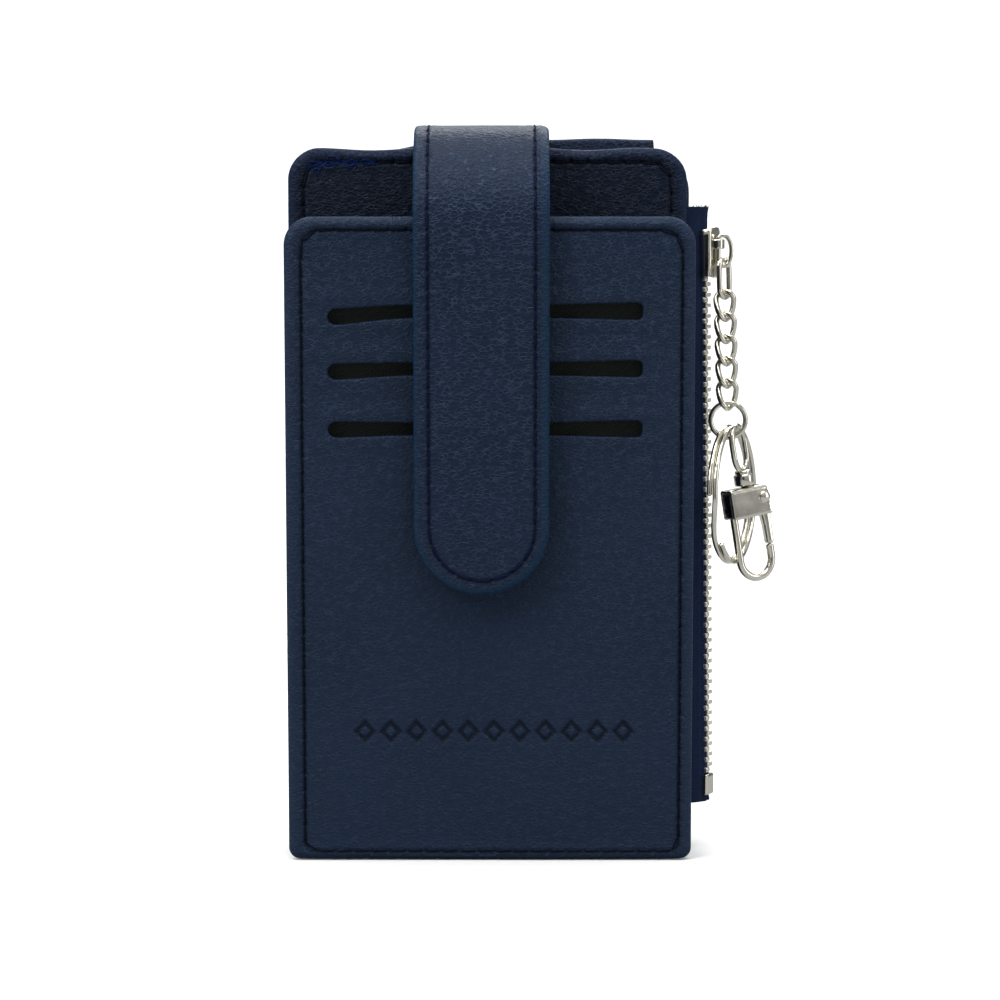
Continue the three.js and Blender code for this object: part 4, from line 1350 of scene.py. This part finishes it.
def build_slider():
    side = [(2.2, 105.1), (2.25, 108.5), (2.3, 111.6), (1.7, 112.7), (0.7, 112.85)]
    foot = [(-1.6, 103.9), (-0.6, 103.75), (0.6, 103.75), (1.6, 103.9)]
    outline = foot + side + [(-y, z) for y, z in side[::-1]]
    loop = even(smooth_line(outline + outline[:1], 0.12)[:-1], 0.14)
    top = metal_plate([loop], 0.62, 0.42, 0.35, lambda p: -0.10 * (p[:, 0] / 2.2) ** 2 + 0.04)
    parts = [top.build("slider_body_metal", along(ZIP, ZIP_FACE, 1.89), NICKEL)]
    for side, name in ((-1, "front"), (1, "back")):
        line = [(1.86, 103.95), (1.98, 105.1), (2.03, 108.4), (2.04, 111.5), (1.9, 112.5)]
        path = curved([(side * y, z) for y, z in line], 0.2)
        flange = metal_plate([rounded_rectangle(0.18, 1.85, 0, path.length, 0.3, 0.14)], 0.46, 0.2, 0.35)
        parts.append(flange.build(f"slider_flange_{name}", follow(path, 0, ZIP), NICKEL))
    line = [(2.0, -1.02), (2.75, -1.03), (3.32, -0.78), (3.58, 0.0), (3.32, 0.78), (2.75, 1.03), (2.0, 1.02)]
    path = curved(line, 0.12)
    low, high = PULL_BOTTOM + 3, PULL_BOTTOM + 4.7
    bail = metal_plate([rounded_rectangle(low, high, 0, path.length, 0.25, 0.12)], 0.5, 0.22, 0.3)
    parts.append(bail.build("slider_bail", follow(path, 2, ZIP), NICKEL))
    attach("slider_body", *parts)
    inner = metal_plate([rounded_rectangle(-1.4, 0.6, 104.4, 112.4, 0.7, 0.2)], 0.5, 0.22)
    attach("slider_inner_plate", inner.build("slider_inner_plate_metal", along(ZIP, ZIP_FACE, -1.65), NICKEL))


def build_zip():
    build_tapes()
    build_teeth()
    stop("zip_bottom_stop", -0.2, 1.4, -1.6, 1.6, 9.7, 13.5, 0.42, lambda p: -0.10 * (p[:, 0] / 1.6) ** 2)
    stop("zip_top_stop_front", -0.1, 0.42, -1.4, -0.6, 113.6, 114.5, 0.2)
    stop("zip_top_stop_back", -0.1, 0.42, 0.6, 1.4, 114.4, 115.3, 0.2)
    build_slider()


# ======== Pull ring, chain and rings ========
PULL = shifted(ZIP_LINE_X + BAIL_BAR * math.cos(ZIP_TURN), -BAIL_BAR * math.sin(ZIP_TURN), PULL_BOTTOM)
PULL_WIRE = 0.4
CHAIN = PULL @ shifted(PULL_REACH, 0, 0) @ turned(-CHAIN_FORWARD, -CHAIN_SLANT, 0)
RING_LINE = [
    (0, 4.85), (0, 3.6), (0, 1.9), (0, 0.65), (0.2, 0.15), (0.6, -0.03),
    (1.35, 0.02), (1.97, 0.85), (2.3, 2.65), (1.95, 4.5), (1.2, 5.32), (0.35, 5.3),
]
FIRST_LINK_LENGTH = 6.8
FIRST_LINK_YAW = math.radians(53)
CURB_TOP, CURB_BOTTOM = math.radians(-28), math.radians(62)
JUMP_CUT = math.radians(58)
JUMP_GAP = 0.075
SPLIT_CROSSING, SPLIT_START = 0.42, 1.9


def link_path(r, length, top_angle, bottom_angle, count=88):
    """Middle line of a link: two straight sides and two round ends, turned about Z on its way down."""
    straight = length - 2 * r
    half_turn = math.pi * r
    points = []
    for s in np.arange(count) * (2 * straight + 2 * half_turn) / count:
        if s < half_turn:
            u, w = r * math.cos(s / r), -r + r * math.sin(s / r)
        elif s < half_turn + straight:
            u, w = -r, -r - (s - half_turn)
        elif s < 2 * half_turn + straight:
            a = (s - half_turn - straight) / r
            u, w = -r * math.cos(a), -r - straight - r * math.sin(a)
        else:
            u, w = r, -r - straight + (s - 2 * half_turn - straight)
        angle = top_angle + (bottom_angle - top_angle) * -w / length
        points.append((u * math.cos(angle), u * math.sin(angle), w))
    return np.array(points)


def pull_ring_path():
    """The D-shaped ring, smooth across the place where its list of points begins."""
    closed = smooth_line(RING_LINE[-3:] + RING_LINE + RING_LINE[:4], 0.12)
    away = np.linalg.norm(closed - np.array(RING_LINE[0]), axis=1)
    start = away[:80].argmin()
    end = len(closed) - 1 - away[::-1][:80].argmin()
    x, z = even(closed[start:end], 0.15).T
    return np.stack([x, 0 * x, z], axis=1)


def split_path():
    """Two coils that step across each other at the ring's crossing."""
    angle = np.linspace(SPLIT_CROSSING, 4 * math.pi - SPLIT_CROSSING, 320)
    rise = np.clip((angle - 2 * math.pi) / SPLIT_CROSSING, -1, 1)
    offset = SPLIT_OFFSET * np.sin(rise * math.pi / 2)
    angle -= SPLIT_START
    return np.stack([offset, np.sin(angle) * SPLIT_RADIUS, np.cos(angle) * SPLIT_RADIUS], axis=1)


def build_chain():
    attach("pull_ring", wire("pull_ring_metal", pull_ring_path(), PULL_WIRE, 16, True, PULL))
    step = 2 * LINK_WIRE + CONTACT
    z = PULL_WIRE + 2.5 * CONTACT + LINK_WIRE
    first = link_path(LINK_HALF_WIDTH, FIRST_LINK_LENGTH, FIRST_LINK_YAW, FIRST_LINK_YAW)
    attach("link_1", wire("link_1_metal", first, SHOWN_LINK_WIRE, 16, True, CHAIN @ shifted(0, 0, z)))
    z += step - FIRST_LINK_LENGTH
    curb = link_path(LINK_HALF_WIDTH, LINK_PITCH + step, CURB_TOP, CURB_BOTTOM)
    for k in range(2, 7):
        link = wire(f"link_{k}_metal", curb, SHOWN_LINK_WIRE, 16, True, CHAIN @ shifted(0, 0, z))
        attach(f"link_{k}", link)
        z -= LINK_PITCH
    jump = CHAIN @ shifted(0, 0, z - JUMP_RADIUS)
    angle = np.linspace(JUMP_CUT + JUMP_GAP, JUMP_CUT + 2 * math.pi - JUMP_GAP, 110)
    arc = np.stack([np.cos(angle) * JUMP_RADIUS, 0 * angle, np.sin(angle) * JUMP_RADIUS], axis=1)
    attach("jump_ring", wire("jump_ring_metal", arc, JUMP_WIRE, 18, False, jump))
    hang = turned(CHAIN_FORWARD, CHAIN_SLANT + RING_ROLL, RING_YAW)
    key = jump @ shifted(0.45, 0, -1.3) @ hang @ shifted(0, 0, -SPLIT_RADIUS)
    attach("split_ring", wire("split_ring_metal", split_path(), SPLIT_WIRE, 14, False, key))
    build_hook(jump @ shifted(1.35, 0, -1.15) @ turned(CHAIN_FORWARD, CHAIN_SLANT - HOOK_TILT, 0))


# ======== Snap hook ========
EYE_DROP = 8.2
EYE_HALF_WIDTH = 3.1
SWIVEL_Z = -EYE_DROP - 2.9
HOOK_FACE = (0, 2, 1)
BOW_RADIUS, BOW_Z = 3.3, -13.2
CHANNEL_LEFT, CHANNEL_RIGHT, CHANNEL_LEAST = -4.2, 2.3, 2.95
CHANNEL_CORNER = 0.4
CHANNEL_ROUND = 1.6


def build_swivel(eye):
    loop = wire("hook_eye_metal", link_path(EYE_HALF_WIDTH, EYE_DROP, 0, 0, 110), EYE_WIRE, 18, True, eye)
    # heights of the barrel's upper part are from the foot of the eye, all others from the swivel
    lower = [(0.03, 0.3), (1.5, 0.3), (1.74, 0.38), (1.82, 0.6)]
    upper = [
        (1.82, -0.9), (1.72, -0.62), (1.35, -0.5), (1.5, -0.36), (1.52, -0.1), (1.35, 0.12), (0.9, 0.22),
        (0.03, 0.24),
    ]
    barrel = [(r, SWIVEL_Z + z) for r, z in lower] + [(r, z - EYE_DROP) for r, z in upper]
    pin = [
        (0.03, -1.82), (0.8, -1.8), (1.08, -1.66), (1.15, -1.4), (1.05, -1.14), (0.72, -1.08), (0.7, 0.6),
        (0.03, 0.6),
    ]
    pin = [(r, SWIVEL_Z + z) for r, z in pin]
    attach("hook_eye", loop, lathe("hook_barrel", barrel, eye), lathe("hook_pin", pin, eye))


def build_channel(body):
    """The channel: one strip bent over the swivel, its far upper corners rounded."""
    line = filleted([(-1.7, -5.4), (-1.7, -0.3), (1.7, -0.3), (1.7, -5.4)], (0.42, 0.42), 0.1)
    path = Path(line)
    run = path.run
    upper = np.clip(line[:, 1] + CHANNEL_ROUND, 0, CHANNEL_ROUND)
    right = CHANNEL_RIGHT + np.sqrt(CHANNEL_ROUND ** 2 - upper ** 2)
    right = np.maximum(right, CHANNEL_LEAST)
    from_end = np.clip(CHANNEL_CORNER - np.minimum(run, path.length - run), 0, CHANNEL_CORNER)
    corner = CHANNEL_CORNER - np.sqrt(CHANNEL_CORNER ** 2 - from_end ** 2)
    inner_left = CHANNEL_LEFT + CHANNEL_CORNER
    far_end = np.array([(right[-1] - CHANNEL_CORNER, run[-1]), (inner_left, run[-1])])
    near_end = np.array([(inner_left, 0.0), (right[0] - CHANNEL_CORNER, 0.0)])
    loop = np.vstack([
        np.stack([right - corner, run], axis=1),
        even(far_end, 0.15, False)[1:-1],
        np.stack([CHANNEL_LEFT + corner, run], axis=1)[::-1],
        even(near_end, 0.15, False)[1:-1],
    ])
    half = len(line) // 2
    rivet_run = np.interp(RIVET_Z, line[:half, 1], run[:half])
    holes = [circle_loop(RIVET_X, s, 0.7, 30) for s in (rivet_run, path.length - rivet_run)]
    holes.append(circle_loop(0, path.length / 2, 0.82, 36))
    bends = [(-4.4, 4.2, s - 0.6, s + 0.65, 0.11) for s in (4.95, path.length - 4.95)]
    channel = metal_plate([even(loop, 0.14)] + holes, 0.6, 0.14, zones=bends, back_grid=0.4, least_edge=0.14)
    attach("hook_body", channel.build("hook_body_metal", follow(path, 0, body), NICKEL))


def build_bow(body):
    """The wire hook, and a dark plate of painted shade that fills the channel's end round its root."""
    down = np.linspace(-3.0, BOW_Z, 50)[:-1]
    turn = np.linspace(0, math.pi, 60)
    up = np.linspace(BOW_Z, -11.35, 12)[1:]
    x = np.concatenate([0 * down - BOW_RADIUS, -BOW_RADIUS * np.cos(turn), 0 * up + BOW_RADIUS])
    z = np.concatenate([down, BOW_Z - BOW_RADIUS * np.sin(turn), up])
    bow = wire("hook_wire_metal", np.stack([x, 0 * x, z], axis=1), BOW_WIRE, 20, False, body)
    # a dark plate of painted shade inside the channel's end
    outline = rounded_rectangle(-4.3, -2.0, -5.25, -0.75, (0.5, 0.5, 0.4, 0.4), 0.16)
    root = metal_plate([outline], 2.66, 0.25, 0.4)
    attach("hook_wire", bow, root.build("hook_root_metal", along(body, HOOK_FACE), CHANNEL_SHADE_METAL))


def build_gate(body):
    """A tapered lever with a round head on the rivet."""
    turn = np.radians(np.linspace(-10, 190, 36))
    head = np.stack([RIVET_X + 1.2 * np.cos(turn), RIVET_Z + 1.2 * np.sin(turn)], axis=1)
    tail = [
        (2.15, -4.2), (2.6, -7.5), (2.68, -10.5), (2.9, -10.88), (3.7, -10.88), (3.92, -10.5), (3.95, -7.5),
        (4.15, -4.2),
    ]
    lever = even(np.vstack([head, tail]), 0.15)
    gate = metal_plate([lever, circle_loop(RIVET_X, RIVET_Z, 0.82, 30)], 1.7, 0.3, 0.4)
    attach("hook_gate", gate.build("gate_metal", along(body, HOOK_FACE), NICKEL))


def build_rivet(body):
    head = [(0.05, 2.5), (0.45, 2.46), (0.8, 2.36), (1.02, 2.2), (1.05, 2.1), (0.95, 2.04), (0.5, 2.02)]
    rivet = [(r, -z) for r, z in head] + head[::-1]
    spot = body @ shifted(RIVET_X, 0, RIVET_Z) @ spun(math.pi / 2, "X")
    attach("gate_rivet", lathe("gate_rivet_metal", rivet, spot))


def build_spring(body):
    path = curved([(-1.7, -3.25), (-0.6, -3.3), (0.4, -3.28), (1.2, -3.2)], 0.15)
    leaf = metal_plate([rounded_rectangle(-0.8, 0.8, 0, path.length, 0.2, 0.15)], 0.26, 0.1)
    attach("gate_spring", leaf.build("gate_spring_metal", follow(path, 1, body), NICKEL))


def build_hook(hook):
    build_swivel(hook @ spun(EYE_YAW, "Z"))
    body = hook @ shifted(0, 0, SWIVEL_Z) @ spun(HOOK_TURN, "Z")
    build_channel(body)
    build_bow(body)
    build_gate(body)
    build_rivet(body)
    build_spring(body)


# ======== Snap under the strap ========
SNAP_X, SNAP_Z = -1.45, 60


def build_snap():
    front = shifted(0, *LEAN_PIVOT) @ spun(LEAN, "X")
    spot = front @ shifted(SNAP_X, FRONT_FACE_Y - LEAN_PIVOT[0], SNAP_Z) @ spun(math.pi / 2, "X")
    stud = [
        (0.05, 0.3), (4.7, 0.3), (4.94, 0.4), (5.0, 0.6), (4.9, 0.84), (4.4, 1.0), (2.3, 1.0), (1.8, 1.08),
        (1.52, 1.2), (1.6, 1.38), (1.7, 1.46), (1.5, 1.58), (0.05, 1.6),
    ]
    attach("snap_stud", lathe("snap_stud_metal", stud, spot))
    socket = [
        (2.1, 1.62), (2.16, 1.4), (2.4, 1.31), (4.8, 1.3), (5.1, 1.4), (5.2, 1.62), (5.1, 1.86), (4.7, 1.95),
        (2.9, 1.95), (2.3, 1.86),
    ]
    attach("snap_socket", lathe("snap_socket_metal", socket, spot, closed=True))


build_front()
build_middle()
build_back()
build_strap()
build_linings()
build_gussets()
build_zip()
build_chain()
build_snap()


# ======== Studio ========
def add_area(name, place, aim, size, power):
    data = bpy.data.lights.new(name, "AREA")
    data.shape = "RECTANGLE"
    data.size, data.size_y = size
    data.energy = power
    light = bpy.data.objects.new(name, data)
    bpy.context.scene.collection.objects.link(light)
    point_at(light, place, aim)


def add_studio():
    """A bright soft box overhead, weaker ones round it, and pale surroundings that are dim in front."""
    bpy.context.scene.view_settings.view_transform = "Standard"
    world = bpy.data.worlds.new("studio")
    world.use_nodes = True
    n = Nodes(world.node_tree)
    generated = n.add("ShaderNodeTexCoord").outputs["Generated"]
    x, y, z = n.add("ShaderNodeSeparateXYZ", {0: generated}).outputs
    level = n.math("ADD", n.remap(z, 0.0, 1.0, 0.24, 0.72), n.remap(y, -0.2, 1.0, 0.0, 0.12))
    # a dark upright strip in front, which the bright metal mirrors
    strip = n.remap(n.math("ABSOLUTE", n.math("ADD", x, 0.14)), 0.10, 0.30, 0.85, -0.25)
    dimmed = n.math("MULTIPLY", strip, n.remap(y, -0.75, -0.40, 1.0, 0.0))
    level = n.math("MULTIPLY", level, n.math("SUBTRACT", 1.0, dimmed))
    seen = n.add("ShaderNodeLightPath").outputs["Is Camera Ray"]
    around = n.add("ShaderNodeBackground", {"Color": (0.96, 0.98, 1.0), "Strength": level}).outputs[0]
    white = n.add("ShaderNodeBackground", {"Color": (1.0, 1.0, 1.0)}).outputs[0]
    mixed = n.add("ShaderNodeMixShader", {0: seen, 1: around, 2: white}).outputs[0]
    n.add("ShaderNodeOutputWorld", {"Surface": mixed})
    bpy.context.scene.world = world
    # places and sizes in metres, powers in watts
    add_area("overhead", (-0.05, -0.22, 1.0), (0, 0, 0.05), (0.9, 0.7), 9.4)
    add_area("key", (-0.62, -0.55, 0.7), (0, 0, 0.07), (0.35, 0.35), 3.3)
    add_area("side", (0.8, -0.25, 0.3), (0, 0, 0.07), (0.3, 0.6), 1.3)
    add_area("rear", (0.1, 1.0, 0.9), (0, 0.3, 0.0), (1.2, 0.6), 11.0)


def floor_look():
    """White for the camera and a darker grey for everything that mirrors it."""
    n = Look("floor")
    grain = n.noise(n.place(), 30).outputs["Fac"]
    seen = n.add("ShaderNodeLightPath").outputs["Is Camera Ray"]
    pale = n.mix(n.remap(grain, 0.3, 0.7, 0.0, 1.0), (0.93, 0.93, 0.93), (0.92, 0.92, 0.92))
    return n.finish(n.mix(seen, (0.34, 0.35, 0.36), pale), 0.7, Specular_IOR_Level=0.2)


def add_floor():
    """A pale floor that sweeps up far behind the wallet; its sizes are in metres."""
    reach, bend, half_width, steps = 1.6, 0.8, 2.6, 12
    rows = [(-reach, 0.0), (reach - bend, 0.0)]
    for k in range(1, steps + 1):
        angle = math.pi / 2 * k / steps
        rows.append((reach - bend + bend * math.sin(angle), bend * (1 - math.cos(angle))))
    rows.append((reach, reach + 0.6))
    points = [(x, y, z - 0.0001) for y, z in rows for x in (-half_width, half_width)]
    faces = [(2 * k, 2 * k + 1, 2 * k + 3, 2 * k + 2) for k in range(len(rows) - 1)]
    mesh = bpy.data.meshes.new("floor")
    mesh.from_pydata(points, [], faces)
    mesh.polygons.foreach_set("use_smooth", np.ones(len(faces), bool))
    floor = make_object("floor", mesh, floor_look())


add_studio()
add_floor()
